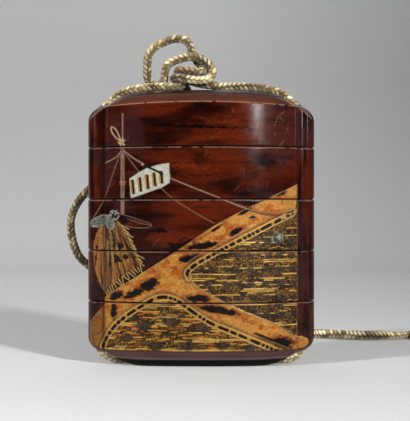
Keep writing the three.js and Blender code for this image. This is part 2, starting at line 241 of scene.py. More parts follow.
COIL_END = [  # angle, radius and height where the stored end crosses the coil and lies down inside it
    (-1252, 14.15, 3.75), (-1275, 13.9, 5.0), (-1300, 13.3, 6.05), (-1325, 12.4, 6.2), (-1350, 11.0, 6.0),
    (-1374, 9.5, 4.7), (-1398, 8.6, 2.9), (-1422, 8.0, 1.6), (-1450, 7.7, 1.25), (-1480, 7.5, 1.3),
    (-1504, 7.3, 1.7), (-1516, 7.2, 2.0)]
TIE_LIFT, TIE_SPREAD, TIE_REACH = 0.7, 24, 9.8  # rise over the tie's thread, its degrees, the least radius
TIE_THREAD, TIE_WINDINGS, TIE_SIDES = 0.34, 4, 8
PLAIT_PITCH = 1.25  # from one strand to the next along the cord
PLAIT_STRANDS, PLAIT_SIDES = 4, 28
STRAND_SLANT = 0.42  # how far along, in pitches, a strand runs while it crosses half a column
FACING_SPAN = 25  # the points over which the plait's turn is evened out
LOOSE_PLAIT = 0.3  # how much the slack cord on the floor swells
SLACK_GROWS, SLACK_FADES = (24, 30), (62, 56)  # the stretches of x where the swelling starts and ends
SLACK_LOW = (12, 6)  # and the heights between which it comes in, going down
KNOT_LOW = 72  # the knot and its loops stand above this height
# Between the lines of two strands: where shade is full, where it ends, and the least that is not one cord.
STRAND_NEAR, STRAND_FAR, OWN_STRAND = 2.3, 3.1, 1.3
SEAT, SEAT_FROM, SEAT_FULL = 0.42, 66, 69.5  # how far the loop is let down, and between which heights
# Strand colours, pale and straw, and the painted shade in the creases between strands.
CORD_PALE, CORD_STRAW, CORD_CREASE_SHADE = (255, 238, 192), (160, 134, 92), (34, 25, 15)


def lengths(line):
    """How far along the line each of its points is."""
    return np.concatenate([[0], np.cumsum(np.linalg.norm(np.diff(line, axis=0), axis=1))])


def smooth_line(points, step):
    """Points about step apart on the centripetal curve that part.mjs uses."""
    p = np.array(points, float)
    p = np.vstack([2 * p[0] - p[1], p, 2 * p[-1] - p[-2]])
    fine = []
    for a, b, c, d in zip(p, p[1:], p[2:], p[3:]):
        t0, t1, t2 = (math.sqrt(np.linalg.norm(v)) for v in (b - a, c - b, d - c))
        m1 = ((b - a) / t0 - (c - a) / (t0 + t1) + (c - b) / t1) * t1
        m2 = ((c - b) / t1 - (d - b) / (t1 + t2) + (d - c) / t2) * t1
        t = np.linspace(0, 1, 25)[:-1, None]
        fine.append(b + m1 * t + (3 * (c - b) - 2 * m1 - m2) * t**2 + (2 * (b - c) + m1 + m2) * t**3)
    fine = np.vstack(fine + [p[-2:-1]])
    along = lengths(fine)
    at = np.linspace(0, along[-1], max(2, round(along[-1] / step) + 1))
    return np.stack([np.interp(at, along, fine[:, k]) for k in range(3)], 1), along[-1]


def tangents(line):
    way = np.gradient(line, axis=0)
    return way / np.linalg.norm(way, axis=1)[:, None]


def carried_frames(line):
    """The tangent and two side directions at each point, turned as little as possible along the line."""
    tangent = tangents(line)
    side = np.cross(tangent[0], [0.3, 1, 0.2])
    sides = []
    for t in tangent:
        side = side - t * side.dot(t)
        side /= np.linalg.norm(side)
        sides.append(side)
    sides = np.array(sides)
    return tangent, sides, np.cross(tangent, sides)


def tube(line, radius, sides):
    """Rings of points round a line."""
    _, u, v = carried_frames(line)
    turn = np.linspace(0, 2 * math.pi, sides, endpoint=False)
    ring = np.cos(turn)[None, :, None] * u[:, None] + np.sin(turn)[None, :, None] * v[:, None]
    return line[:, None] + radius * ring


def plait_facing(s, tangent, u, v):
    """The angle round the cord that faces the front, evened out along it, so that no strand jumps."""
    facing = np.unwrap(np.arctan2(-v[:, 1], -u[:, 1]))
    flat = np.abs(tangent[:, 1]) < 0.85
    facing = np.interp(s, s[flat], facing[flat])
    evenly = np.full(FACING_SPAN, 1 / FACING_SPAN)
    return np.convolve(np.pad(facing, FACING_SPAN // 2, "edge"), evenly, "valid")


def closing(s, taper):
    """The share of its thickness that the cord has at each point, where its two ends close."""
    close = np.ones_like(s)
    for length, distance in ((taper[0], s), (taper[1], s[-1] - s)):
        if length:
            close *= np.sqrt(np.clip(1 - (1 - np.clip(distance / length, 0.02, 1)) ** 2, 0, 1))
    return close


def plait_faces(rows, columns):
    """Quads along the plait and a fan of triangles at each end, round the last two points."""
    last = (rows - 1) * columns
    first_tip, last_tip = rows * columns, rows * columns + 1
    faces = grid_faces(rows, columns)
    faces += [[(c + 1) % columns, c, first_tip] for c in range(columns)]
    faces += [[last + c, last + (c + 1) % columns, last_tip] for c in range(columns)]
    return faces


def plaited(name, line, material, radius=CORD_RADIUS, seed=0, taper=(0, 0), swell=0, others=()):
    """A round plait of slanting strands along a line, coloured with painted shade.

    taper is the length over which each end closes, swell is extra thickness, and others are lines of
    cord whose touch is painted as shade on this one.
    """
    tangent, u, v = carried_frames(line)
    s = lengths(line)
    turn = np.linspace(0, 2 * math.pi, PLAIT_SIDES, endpoint=False)
    S, T = np.meshgrid(s, turn, indexing="ij")
    cos, sin = np.cos(T), np.sin(T)
    wander = 0.9 * (noise(seed + 3, S / 8) - 0.5)
    width = 2 * math.pi / PLAIT_STRANDS
    around = (T - plait_facing(s, tangent, u, v)[:, None] + wander) / width % PLAIT_STRANDS
    column = np.floor(around)
    across = 2 * (around - column) - 1
    lean = np.where(column % 2 == 0, 1, -1)
    place = S / PLAIT_PITCH + STRAND_SLANT * lean * across + 0.5 * (column % 2)
    strand = np.sqrt(np.clip(1 - (2 * (place % 1) - 1) ** 2, 0, 1))
    full = strand * np.sqrt(np.clip(1 - 0.72 * across**2, 0, 1))
    lump = noise(seed + 5, S / 3.1, T / 1.5) - 0.5
    relief = 0.74 + 0.27 * full + 0.06 * lump
    r = (radius + np.reshape(swell, (-1, 1))) * relief * closing(s, taper)[:, None]
    points = line[:, None] + (cos * r)[..., None] * u[:, None] + (sin * r)[..., None] * v[:, None]
    points = np.vstack([points.reshape(-1, 3), line[0], line[-1]])
    piece = make(name, points, plait_faces(*S.shape), material)
    up = cos * u[:, 2:] + sin * v[:, 2:]
    # Painted shade: the cord is darker on its down-facing sides, times random patches of soil.
    soil_and_shade = (0.40 + 0.66 * ramp(up, -0.35, 0.8)) * (0.64 + 0.64 * ramp(noise(seed + 7, S / 4.5), 0.2, 0.7))
    # Painted shade where another strand of cord lies close against this one.
    soil_and_shade = soil_and_shade * (1 - 0.55 * touched(line, tangent, others, cos, sin, u, v))
    # Painted shade: strands darken to the crease colour between them, and with the shade above.
    light = (ramp(full + 0.45 * lump, 0.34, 1.0) * np.minimum(soil_and_shade, 1.1))[..., None]
    pale, straw, crease = (linear(*colour) for colour in (CORD_PALE, CORD_STRAW, CORD_CREASE_SHADE))
    yarn = hashed(seed + 11, np.floor(place), column)
    body = blend(straw, pale, ramp(yarn, 0.1, 0.8))
    tone = (crease + (body - crease) * light).reshape(-1, 3)
    paint(piece.data, "tone", np.vstack([tone, tone[:1], tone[-1:]]))
    return piece


def touched(line, tangent, others, cos, sin, u, v):
    """How far each point of a cord's surface faces a strand that lies close by, from 0 to 1, used as painted
    shade.
    """
    shade = np.zeros(cos.shape)
    for place in itertools.chain.from_iterable(other[::2] for other in others):
        away = place - line
        far = np.linalg.norm(away, axis=1)
        side = away - tangent * np.sum(away * tangent, 1)[:, None]
        reach = np.linalg.norm(side, axis=1)
        row = np.nonzero((far < STRAND_FAR) & (reach > OWN_STRAND))[0]
        if len(row):
            side = side[row] / reach[row][:, None]
            face = cos[row] * np.sum(side * u[row], 1)[:, None] + sin[row] * np.sum(side * v[row], 1)[:, None]
            near = ramp(far[row], STRAND_FAR, STRAND_NEAR)[:, None]
            shade[row] = np.maximum(shade[row], ramp(face, 0.0, 0.8) * near)
    return shade


def seated(line):
    """The loop's line let down onto the crown and into its grooves, so that no light shows under the cord."""
    tangent = tangents(line)
    inward = np.stack([tangent[:, 2], 0 * tangent[:, 0], -tangent[:, 0]], 1)
    inward *= -np.sign(inward[:, 2:] + 1e-9)
    return line + inward * (SEAT * ramp(line[:, 2], SEAT_FROM, SEAT_FULL))[:, None]


def coil_line():
    """The stored part of the cord: round on the floor, in to the inner track, up, out, over and inside."""
    inner, outer = COIL_TRACKS
    low, high = COIL_LAYERS
    gap = outer - inner
    stops = []

    def turn(start, end, radius, height, count):
        stops.extend((a, radius, height) for a in np.linspace(start, end, count, endpoint=False))

    def change(start, radius, height):
        """Four stops over 60 degrees, placed by what radius and height give for a quarter turn's angles."""
        for k in range(4):
            f = math.radians(90 * k / 4)
            stops.append((start - 60 * k / 4, radius(f), height(f)))

    turn(90, -190, outer, low, 18)
    change(-190, lambda f: inner + gap * math.cos(f), lambda f: low)
    turn(-250, -550, inner, low, 20)
    change(-550, lambda f: inner, lambda f: low + gap * math.sin(f))
    turn(-610, -910, inner, high, 20)
    change(-910, lambda f: inner + gap * math.sqrt(1 - (1 - math.sin(f)) ** 2), lambda f: high)
    turn(-970, -1240, outer, high, 17)
    line = []
    for angle, radius, height in stops + COIL_END:
        a = math.radians(angle)
        over_tie = math.exp(-(math.remainder(angle, 360) / TIE_SPREAD) ** 2) if radius > TIE_REACH else 0
        line.append([COIL_CENTRE[0] + radius * math.cos(a), COIL_CENTRE[1] + radius * math.sin(a),
                     height + TIE_LIFT * over_tie])
    return line


def build_cord():
    material = cord_material()
    loop_line, loop_length = smooth_line(LOOP_ROUTE, CORD_STEP)
    knot_line, _ = smooth_line(KNOT_ROUTE, CORD_STEP)
    tail_line, tail_length = smooth_line(TAIL_ROUTE + coil_line(), CORD_STEP)
    loop_line = seated(loop_line)
    heap = [line[line[:, 2] > KNOT_LOW] for line in (loop_line, knot_line, tail_line)]
    loop = plaited("cord_loop_plait", loop_line, material, seed=1, taper=(1.2, 0.7), others=heap)
    knot = plaited("cord_knot_plait", knot_line, material, seed=2, taper=(0.7, 0.7), others=heap)
    slack = LOOSE_PLAIT * ramp(tail_line[:, 0], *SLACK_GROWS) * ramp(tail_line[:, 0], *SLACK_FADES)
    slack *= ramp(tail_line[:, 2], *SLACK_LOW)
    tail_line[:, 2] += slack
    tail = plaited("cord_tail_plait", tail_line, material, seed=4, taper=(0.7, 0), swell=slack)
    end_knot = build_end_knot(material)
    tie = build_tie()
    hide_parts("cord_loop")
    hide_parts("cord_knot")
    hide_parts("cord_tail", "cord_coil")
    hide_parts("cord_end_knot")
    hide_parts("coil_tie")
    for piece in (loop, knot, tail, end_knot, tie):
        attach(piece, "root")


def build_end_knot(material):
    """A small overhand knot, drawn tight, with the cord's end standing out of it."""
    low, high = (np.array(c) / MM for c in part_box("cord_end_knot"))
    centre, half = (low + high) / 2, (high - low) / 2
    radius, lowest = 0.95, 1.0
    a = np.linspace(0.35, 2 * math.pi + 0.1, 26)
    swirl = np.stack([np.sin(a) + 1.6 * np.sin(2 * a), np.cos(a) - 1.6 * np.cos(2 * a),
                      -1.15 * np.sin(3 * a)], 1)
    line = centre + swirl / np.abs(swirl).max(0) * (half - radius)
    line = np.vstack([line, line[-1] + [[-0.9, -0.6, -0.2], [-2.1, -0.9, -0.5]]])
    line[:, 2] = np.maximum(line[:, 2], lowest)
    line, _ = smooth_line(line, 0.3)
    return plaited("cord_end_knot_plait", line, material, radius=radius, seed=6, taper=(0.8, 0.7))


def build_tie():
    """Four windings of waxed thread round the coil's band."""
    low, high = (np.array(c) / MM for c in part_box("coil_tie"))
    centre, half = (low + high) / 2, (high - low) / 2 - TIE_THREAD
    a = np.linspace(0, TIE_WINDINGS * 2 * math.pi, TIE_WINDINGS * 40 + 1)
    x, z = (np.sign(way) * np.abs(way) ** 0.5 for way in (np.cos(a), np.sin(a)))
    line = np.stack([centre[0] + x * half[0], centre[1] + np.linspace(-half[1], half[1], len(a)),
                     centre[2] + z * half[2]], 1)
    rings = tube(smooth_line(line, 0.35)[0], TIE_THREAD, TIE_SIDES)
    return ring_block("coil_tie_thread", rings, thread_material(), smooth=True)


def thread_material():
    n = Nodes("tie_thread")
    place = n.add("ShaderNodeTexCoord").outputs["Object"]
    twist = n.add("ShaderNodeTexWave", {"Scale": 900.0, "Distortion": 2.0, "Detail": 2.0,
                                        "Vector": place}).outputs["Fac"]
    colour = n.mix(twist, (0.055, 0.03, 0.02, 1), (0.12, 0.07, 0.045, 1))
    return n.finish(Base_Color=colour, Roughness=0.7, Normal=n.bump(twist, 0.5, 0.0001))


# ---- The case's form ---------------------------------------------------

HEIGHT, HALF_WIDTH, HALF_DEPTH, FACE_RADIUS = 72.4, 30.0, 12.0, 60.0
CHEST_HALF_WIDTH, CHEST_CORNER_RADIUS = 25.2, 1.6
RUNNER_START, RUNNER_HALF_DEPTH = 25.6, 4.8
SEAM_HEIGHTS, SEAM_GAP = (16.8, 30.2, 43.6, 57.2), 0.3
RISER_HEIGHT, RISER_INSET, CAVITY_INSET, SOCKET_INSET = 4.0, 2.2, 3.3, 1.9
SOCKET_HEIGHT = RISER_HEIGHT + SEAM_GAP
SEAL_INSETS = (1.2, 0.35)  # how deep the seams are on the faces and round the runners
SEAL_TURN = (25.6, 28.2)  # the stretch of x over which a seam grows shallow
FLOOR_THICKNESS, BOTTOM_FLOOR_TOP, CROWN_WALL = 1.5, 4.6, 2.2
CROWN_EDGE, CROWN_SHOULDER, CROWN_SPAN, CROWN_POWER = 68.65, 68.6, 24.5, 5
EDGE_FALL, RUNNER_TOP_FALL = 0.85, 4.6
BASE_EDGE, BASE_FLAT_HALF_WIDTH, BASE_FLAT_HALF_DEPTH, KEEL_RISE, RUNNER_FOOT_RISE = 4.25, 14.0, 6.0, 3.6, 4.0
CHANNEL_RADIUS, GROOVE_START = 1.6, 20.5
RUNNER_REACH = HALF_WIDTH - RUNNER_START
CORNER_X = CHEST_HALF_WIDTH - CHEST_CORNER_RADIUS
TOUCH_X = CORNER_X * FACE_RADIUS / (FACE_RADIUS - CHEST_CORNER_RADIUS)
TOUCH_ANGLE = math.acos(TOUCH_X / FACE_RADIUS)
CORNER_Y = (HALF_DEPTH - FACE_RADIUS + math.sqrt(FACE_RADIUS**2 - TOUCH_X**2)
            - CHEST_CORNER_RADIUS * math.sin(TOUCH_ANGLE))


def share_out(x, start, end):
    """0 up to start on either side of the middle, 1 past end, and even between them."""
    return np.clip((np.abs(x) - start) / (end - start), 0, 1)


def round_fall(share):
    return 1 - np.sqrt(np.clip(1 - share**2, 0, None))


def half_depth(x):
    side = np.abs(x)
    face = HALF_DEPTH - FACE_RADIUS + np.sqrt(np.clip(FACE_RADIUS**2 - side**2, 0, None))
    corner = CORNER_Y + np.sqrt(np.clip(CHEST_CORNER_RADIUS**2 - (side - CORNER_X) ** 2, 0, None))
    runner = RUNNER_HALF_DEPTH * np.sqrt(1 - share_out(x, RUNNER_START, HALF_WIDTH) ** 2)
    return np.where(side <= TOUCH_X, face, np.where(side <= CHEST_HALF_WIDTH, corner, runner))


def crown_ridge(x):
    past = share_out(x, CROWN_SPAN, HALF_WIDTH)
    rise = (HEIGHT - CROWN_SHOULDER) * (1 - share_out(x, 0, CROWN_SPAN) ** CROWN_POWER)
    return CROWN_SHOULDER + rise - RUNNER_TOP_FALL * (0.87 * round_fall(past) + 0.13 * past)


def crown_edge(x):
    fall = CROWN_EDGE - EDGE_FALL - (CROWN_SHOULDER - RUNNER_TOP_FALL)
    return (CROWN_EDGE - EDGE_FALL * share_out(x, 0, CROWN_SPAN) ** 2
            - fall * share_out(x, CROWN_SPAN, HALF_WIDTH) ** 1.4)


def crown_height(x, share):
    edge = crown_edge(x)
    return edge + (crown_ridge(x) - edge) * (1 - np.abs(share) ** 3)


def base_edge(x):
    fall = round_fall(share_out(x, RUNNER_START, HALF_WIDTH))
    return BASE_EDGE + (KEEL_RISE + RUNNER_FOOT_RISE - BASE_EDGE) * fall


def base_height(x, share):
    chest = share_out(x, BASE_FLAT_HALF_WIDTH, RUNNER_START)
    keel = KEEL_RISE * chest**2.1 + RUNNER_FOOT_RISE * round_fall(share_out(x, RUNNER_START, HALF_WIDTH))
    beyond = share_out(share, BASE_FLAT_HALF_DEPTH / HALF_DEPTH, 1)
    return keel + (base_edge(x) - keel) * beyond**2.1


def plan_line(face_x, fine):
    """Points along one side of the plan, from the left runner to the right one, and the way out from each."""
    corner = np.linspace(TOUCH_ANGLE, 0, 9 if fine else 5)[1:]
    half = [(CORNER_X + CHEST_CORNER_RADIUS * math.cos(a), CORNER_Y + CHEST_CORNER_RADIUS * math.sin(a),
             math.cos(a), math.sin(a)) for a in corner]
    half += [(CHEST_HALF_WIDTH, RUNNER_HALF_DEPTH + 0.2, 1, 0.1),
             (CHEST_HALF_WIDTH + 0.08, RUNNER_HALF_DEPTH + 0.03, 0.7, 0.7),
             (CHEST_HALF_WIDTH + 0.25, RUNNER_HALF_DEPTH, 0.1, 1)]
    for t in np.linspace(0, math.pi / 2, 34 if fine else 16):
        nx, ny = math.sin(t) / RUNNER_REACH, math.cos(t) / RUNNER_HALF_DEPTH
        size = math.hypot(nx, ny)
        half.append((RUNNER_START + RUNNER_REACH * math.sin(t), RUNNER_HALF_DEPTH * math.cos(t),
                     nx / size, ny / size))
    half = np.array(half)
    half[-1, [1, 3]] = 0
    lean = face_x / FACE_RADIUS
    face = np.stack([face_x, half_depth(face_x), lean, np.sqrt(1 - lean**2)], 1)
    return np.vstack([half[::-1] * [-1, 1, -1, 1], face, half])


def spaced(low, high, step, fine=None):
    """Numbers from low to high about step apart, or fine[2] apart from fine[0] to fine[1]."""
    if fine is None:
        return np.linspace(low, high, max(2, round((high - low) / step) + 1))
    parts = [(low, fine[0], step), (fine[0], fine[1], fine[2]), (fine[1], high, step)]
    return np.concatenate([spaced(a, b, s)[:-1] for a, b, s in parts if b > a] + [[high]])


class Skin:
    """Gathers grids of points into one closed skin, joining points that fall together."""

    def __init__(self):
        self.points, self.faces, self.count = [], [], 0

    def grid(self, block):
        rows, columns = block.shape[:2]
        self.faces += grid_faces(rows, columns, closed=False, start=self.count)
        return self.keep(block)

    def keep(self, block):
        ids = np.arange(self.count, self.count + block[..., 0].size).reshape(block.shape[:2])
        self.points.append(block.reshape(-1, 3))
        self.count += ids.size
        return ids

    def zip(self, a, b):
        """Triangles between two lines of points that end together but differ in number."""
        i = j = 0
        while i < len(a) - 1 or j < len(b) - 1:
            if j == len(b) - 1 or (i < len(a) - 1 and (i + 1) / (len(a) - 1) <= (j + 1) / (len(b) - 1)):
                self.faces.append([a[i], a[i + 1], b[j]])
                i += 1
            else:
                self.faces.append([a[i], b[j + 1], b[j]])
                j += 1

    def joined(self):
        points = np.vstack(self.points)
        _, first, where = np.unique(np.round(points, 5), axis=0, return_index=True, return_inverse=True)
        where = where.ravel()
        faces = []
        for face in self.faces:
            ids = [int(where[k]) for k in face]
            ids = [v for k, v in enumerate(ids) if v != ids[k - 1]]
            if len(set(ids)) > 2 and len(set(ids)) == len(ids):
                faces.append(ids)
        return points[first], faces

    def close(self, f, b, *ends):
        """Joins a front wall to a back wall at the runners, and shuts the rows given as ends."""
        self.zip(f[:, 0], b[:, 0])
        self.zip(b[:, -1], f[:, -1])
        for row, flip in ends:
            self.faces.append([*f[row], *b[row][::-1]][::flip])


TOP_ROUND, LOW_ROUND = 0.34, 0.16  # how far the seam edges are worn round
EDGE_ROWS = np.radians([0, 22, 45, 68, 90])
# Between points across the front, rows up the front, rows up the back and points across the back.
FACE_STEP, FINE_STEP, BACK_STEP, BACK_WIDTH = 0.17, 0.16, 1.6, 1.0
LID_STEPS = (0.3, (-24, -8, 0.14))  # the lid is finer only where the pole and its knot are


def wall_rows(low, high, step, low_round, high_round):
    """Heights and insets of the rows up a wall. A round of 0 leaves that end open."""
    rows = [(z, 0.0) for z in spaced(low + low_round, high - high_round, step)]
    if low_round:
        rows = [(low + low_round * (1 - math.sin(a)), low_round * (1 - math.cos(a)))
                for a in EDGE_ROWS[:0:-1]] + rows
    if high_round:
        rows += [(high - high_round * (1 - math.sin(a)), high_round * (1 - math.cos(a)))
                 for a in EDGE_ROWS[1:]]
    return np.array(rows)


def wall(plan, rows, side, low=None, high=None):
    """A wall over a plan line. low and high, where given, are the heights that end it at each point."""
    z, inset = rows[:, :1], rows[:, 1:]
    z = np.broadcast_to(z, (len(rows), len(plan))).copy()
    share = (rows[:, 0] - rows[0, 0]) / (rows[-1, 0] - rows[0, 0])
    if high is not None:
        z = rows[0, 0] + share[:, None] * (high - rows[0, 0])
    if low is not None:
        z = low + share[:, None] * (rows[-1, 0] - low)
    x = plan[:, 0] - inset * plan[:, 2]
    y = np.maximum(plan[:, 1] - inset * plan[:, 3], 0)
    x[:, [0, -1]] = plan[[0, -1], 0] * (1 - inset / HALF_WIDTH)
    return np.stack([x, side * y, z], -1)


def back_plan():
    return plan_line(spaced(-TOUCH_X, TOUCH_X, BACK_WIDTH), False)


def case_skin(low, high, face_x):
    """The outside of a case between two seams."""
    skin = Skin()
    rows, few = (wall_rows(low, high, step, LOW_ROUND, TOP_ROUND) for step in (FINE_STEP, BACK_STEP))
    f = skin.grid(raised(wall(plan_line(face_x, True), rows, -1)))
    b = skin.grid(wall(back_plan(), few, 1)[:, 1:-1])
    skin.close(f, b, (0, 1), (-1, -1))
    return skin.joined()


def ended_skin(seam, top, face_x):
    """The outside of the lid (top) or of the bottom case: a wall, then the crown or the base."""
    skin = Skin()
    plan = plan_line(face_x, True)
    x, depth = plan[:, 0], plan[:, 1]
    edge, height = (crown_edge(x), crown_height) if top else (base_edge(x), base_height)
    rounded = np.minimum(0.4 if top else 0.7, 0.3 * depth)
    end = edge + (-rounded if top else rounded)
    inner = 1 - rounded / np.maximum(depth, 1e-6)
    corner = [(1 - t**2 * (1 - inner), (1 - t) ** 2 * end + 2 * t * (1 - t) * edge + t**2 * height(x, inner))
              for t in np.linspace(0, 1, 6)]
    turns = np.sin(np.linspace(math.pi / 2, -math.pi / 2, 34))[1:-1]
    sheet = corner + [(t * inner, height(x, t * inner)) for t in turns] + [(-s, z) for s, z in corner[::-1]]
    sheet = np.stack([np.stack([x, -depth * s, z], -1) for s, z in sheet])
    far = float(end.max() if top else end.min())
    span, rounds = ((seam, far), (LOW_ROUND, 0)) if top else ((far, seam), (0, TOP_ROUND))
    rows, few = (wall_rows(*span, step, *rounds) for step in (FINE_STEP, BACK_STEP))
    limits = {"high": end} if top else {"low": end}
    f = skin.grid(raised(wall(plan, rows, -1, **limits)))
    b = skin.grid(wall(plan, few, 1, **limits)[:, 1:-1])
    skin.grid(sheet)
    skin.close(f, b, (0 if top else -1, 1))
    return skin.joined()


def inner_plan(inset, steps=18):
    """The chest's plan drawn in by an inset, as a closed ring."""
    width, radius = CHEST_HALF_WIDTH - inset, FACE_RADIUS - inset
    touch = (width - CHEST_CORNER_RADIUS) * radius / (radius - CHEST_CORNER_RADIUS)
    angle = math.acos(touch / radius)
    centre = HALF_DEPTH - FACE_RADIUS
    corner_y = centre + math.sqrt(radius**2 - touch**2) - CHEST_CORNER_RADIUS * math.sin(angle)
    quarter = [(x, centre + math.sqrt(radius**2 - x * x)) for x in np.linspace(0, touch, steps)[:-1]]
    quarter += [(width - CHEST_CORNER_RADIUS + CHEST_CORNER_RADIUS * math.cos(a),
                 corner_y + CHEST_CORNER_RADIUS * math.sin(a)) for a in np.linspace(angle, 0, 7)]
    q = np.array(quarter)
    return np.vstack([q * [1, -1], q[::-1], q[1:] * [-1, 1], q[:0:-1] * [-1, -1]])


def ring_block(name, rings, material=None, smooth=False):
    """A closed block through rings of points that all have the same number of corners."""
    rings = np.array(rings)
    count = rings.shape[1]
    faces = grid_faces(len(rings), count)
    faces += [list(range(count))[::-1], [(len(rings) - 1) * count + k for k in range(count)]]
    return make(name, rings.reshape(-1, 3), faces, material, smooth)


def upright(name, plan, low, high):
    """A closed block with the same plan from its low face to its high one."""
    return ring_block(name, [np.column_stack([plan, np.full(len(plan), z)]) for z in (low, high)])


def prism(name, inset, low, high):
    return upright(name, inner_plan(inset), low, high)


def seal(high):
    """The top of a case's rim, set in from its outside, that shuts the seam above it."""
    plan = back_plan()
    face, runner = SEAL_INSETS
    inset = face + (runner - face) * ramp(np.abs(plan[:, 0]), *SEAL_TURN)
    x, y = (plan[:, 0] - inset * plan[:, 2]), np.maximum(plan[:, 1] - inset * plan[:, 3], 0.02)
    ring = np.vstack([np.column_stack([x, -y]), np.column_stack([x, y])[::-1]])
    return upright("seal", ring, high - 0.8, high + SEAM_GAP - 0.02)


def carved(piece, *steps):
    """Adds or cuts closed blocks and removes them."""
    for operation, tool in steps:
        change = piece.modifiers.new("carve", "BOOLEAN")
        change.operation, change.object, change.solver = operation, tool, "MANIFOLD"
    mesh = bpy.data.meshes.new_from_object(piece.evaluated_get(bpy.context.evaluated_depsgraph_get()))
    piece.modifiers.clear()
    old, piece.data = piece.data, mesh
    bpy.data.meshes.remove(old)
    for tool in {tool for _, tool in steps}:
        if tool.name != "channel":
            bpy.data.objects.remove(tool)
    return piece


def channel_block():
    """The room that the cord needs: a bore down each runner and a groove across the underside."""
    channel = ring_block("channel", tube(smooth_line(LOOP_ROUTE, 1.0)[0], CHANNEL_RADIUS, 24))
    g, d = GROOVE_START, HALF_DEPTH
    flat = np.array([(g, d), (-g, d), (-g, -d), (g, -d)], float)
    return carved(channel, ("DIFFERENCE", upright("middle", flat, HEIGHT / 2, 1.5 * HEIGHT)))


# ---- The picture on the front ------------------------------------------
# A generic farm scene in gold and silver: a clapper on a pole, straw, a path between rice fields.
# x runs along the face and z up it, both in millimetres.

DIM = 0.29  # from a colour as the eye sees it to the lacquer's own colour


def tint(*rgb):
    return linear(*rgb) * DIM


DEEP, WARM, BLACK = tint(58, 18, 11), tint(120, 43, 18), tint(14, 8, 8)
GOLD, PALE_GOLD, DULL_GOLD = tint(264, 184, 86), tint(285, 238, 150), tint(150, 98, 52)
ORANGE, ROPE, RUST = tint(238, 128, 50), tint(205, 160, 130), tint(122, 46, 18)
SILVER, SHELL = tint(200, 204, 190), tint(264, 264, 244)
GROUND, SMOKE = tint(20, 13, 10), tint(126, 116, 98)

PATH_TOP = [(-27, 16.6), (-24.3, 18.7), (-15, 24.7), (-5.9, 30.5), (3.8, 37), (11.8, 41.2), (18.4, 44.2),
            (25, 47.5)]
UPPER_BAND = [(26.5, 40.6), (23.2, 39.4), (18.7, 37.3), (13, 34.4), (7, 31.4), (1.1, 28.2), (-2, 26.3),
              (-3.6, 24.6), (-3.2, 23.3)]
HOOK = [(25.1, 43.2), (24.9, 41.6), (23.8, 40.4), (22, 39.9)]
BRANCH_TOP = [(-3.2, 23.3), (-0.3, 20.6), (2.2, 19), (5.7, 17.1), (12.6, 13.9), (19.1, 11.3), (22, 9.4),
              (23.7, 8.2), (26.4, 7)]
LOWER_BAND = [(-26.1, 3.6), (-25.2, 6.4), (-22.6, 10.4), (-19.1, 13.5), (-15.2, 16), (-11.7, 18),
              (-8.9, 18.3), (-6.2, 17.5), (-4, 15.9), (2.2, 11.8), (7.5, 9.5), (15.8, 5.9), (21.8, 3.4)]
HALF_BAND, LOZENGE = 0.70, 1.5  # half the width of a bank, and the length of one cell of its pattern
EAR_LOW, EAR_LEFT, EAR_SLOPE = 11.4, 29.2, 1.16  # the path's end on the left runner
FIELD_ROWS, FIELD_STEP = (9.0, 13.4, 17.6, 21.3, 25, 28.6, 32.2), 3.6
# Worn, dark and bright places: x, z, half length, half height, degrees.
WORN = [(-13.4, 21.6, 2.1, 1.25, 22), (-17.4, 19.1, 2.4, 0.95, 24), (-21.9, 18.5, 1.9, 1.0, 14),
        (-22.7, 14.4, 0.75, 1.7, 0), (-2.9, 28.3, 2.6, 1.0, 14), (0.4, 31.6, 3.9, 0.75, 6),
        (-0.8, 18, 3.0, 0.85, -4), (4.8, 15, 5.6, 0.85, -10), (21.2, 6.3, 2.5, 1.45, -14),
        (16.6, 7.6, 2.8, 0.5, -24), (8.9, 35.2, 1.6, 0.75, 22), (20.9, 45.3, 1.2, 0.75, 30),
        (3.9, 36.0, 1.9, 0.3, 33), (6.4, 38.6, 1.6, 0.35, 33), (11.3, 40.4, 1.8, 0.4, 30),
        (13.2, 38.8, 0.9, 0.35, 5), (-2.2, 32.9, 0.9, 0.3, 30)]
STRAW_SPOTS = [(-20.9, 31.3, 1.35, 0.95, -20), (-22.1, 28, 1.5, 1.05, -28), (-19.6, 28.6, 0.75, 0.6, 0),
               (-23, 31.2, 0.45, 1.0, 0), (-23.7, 27.5, 0.3, 1.6, 0), (-27.6, 28.2, 0.4, 0.7, 0),
               (-27.4, 31, 0.4, 0.6, 0)]
MURKY = [(-4.5, 31.6, 6.5, 1.9, 12), (-11, 35.4, 2.4, 0.8, 0), (1.5, 62.1, 13, 0.55, -2),
         (15, 65.6, 1.2, 0.8, 0), (17.5, 53, 4, 1.2, 5), (-20, 25.5, 2.5, 1, 0)]
GLOWING = [(7, 63.5, 9, 1.3, -4), (-4, 52, 8, 1.6, 0), (4, 59.3, 10, 0.9, 0)]
SILVER_LOOPS = [(-26.5, 37.9, 2.9, 1.3, 22), (-23.7, 37.3, 1.1, 1.7, 20)]
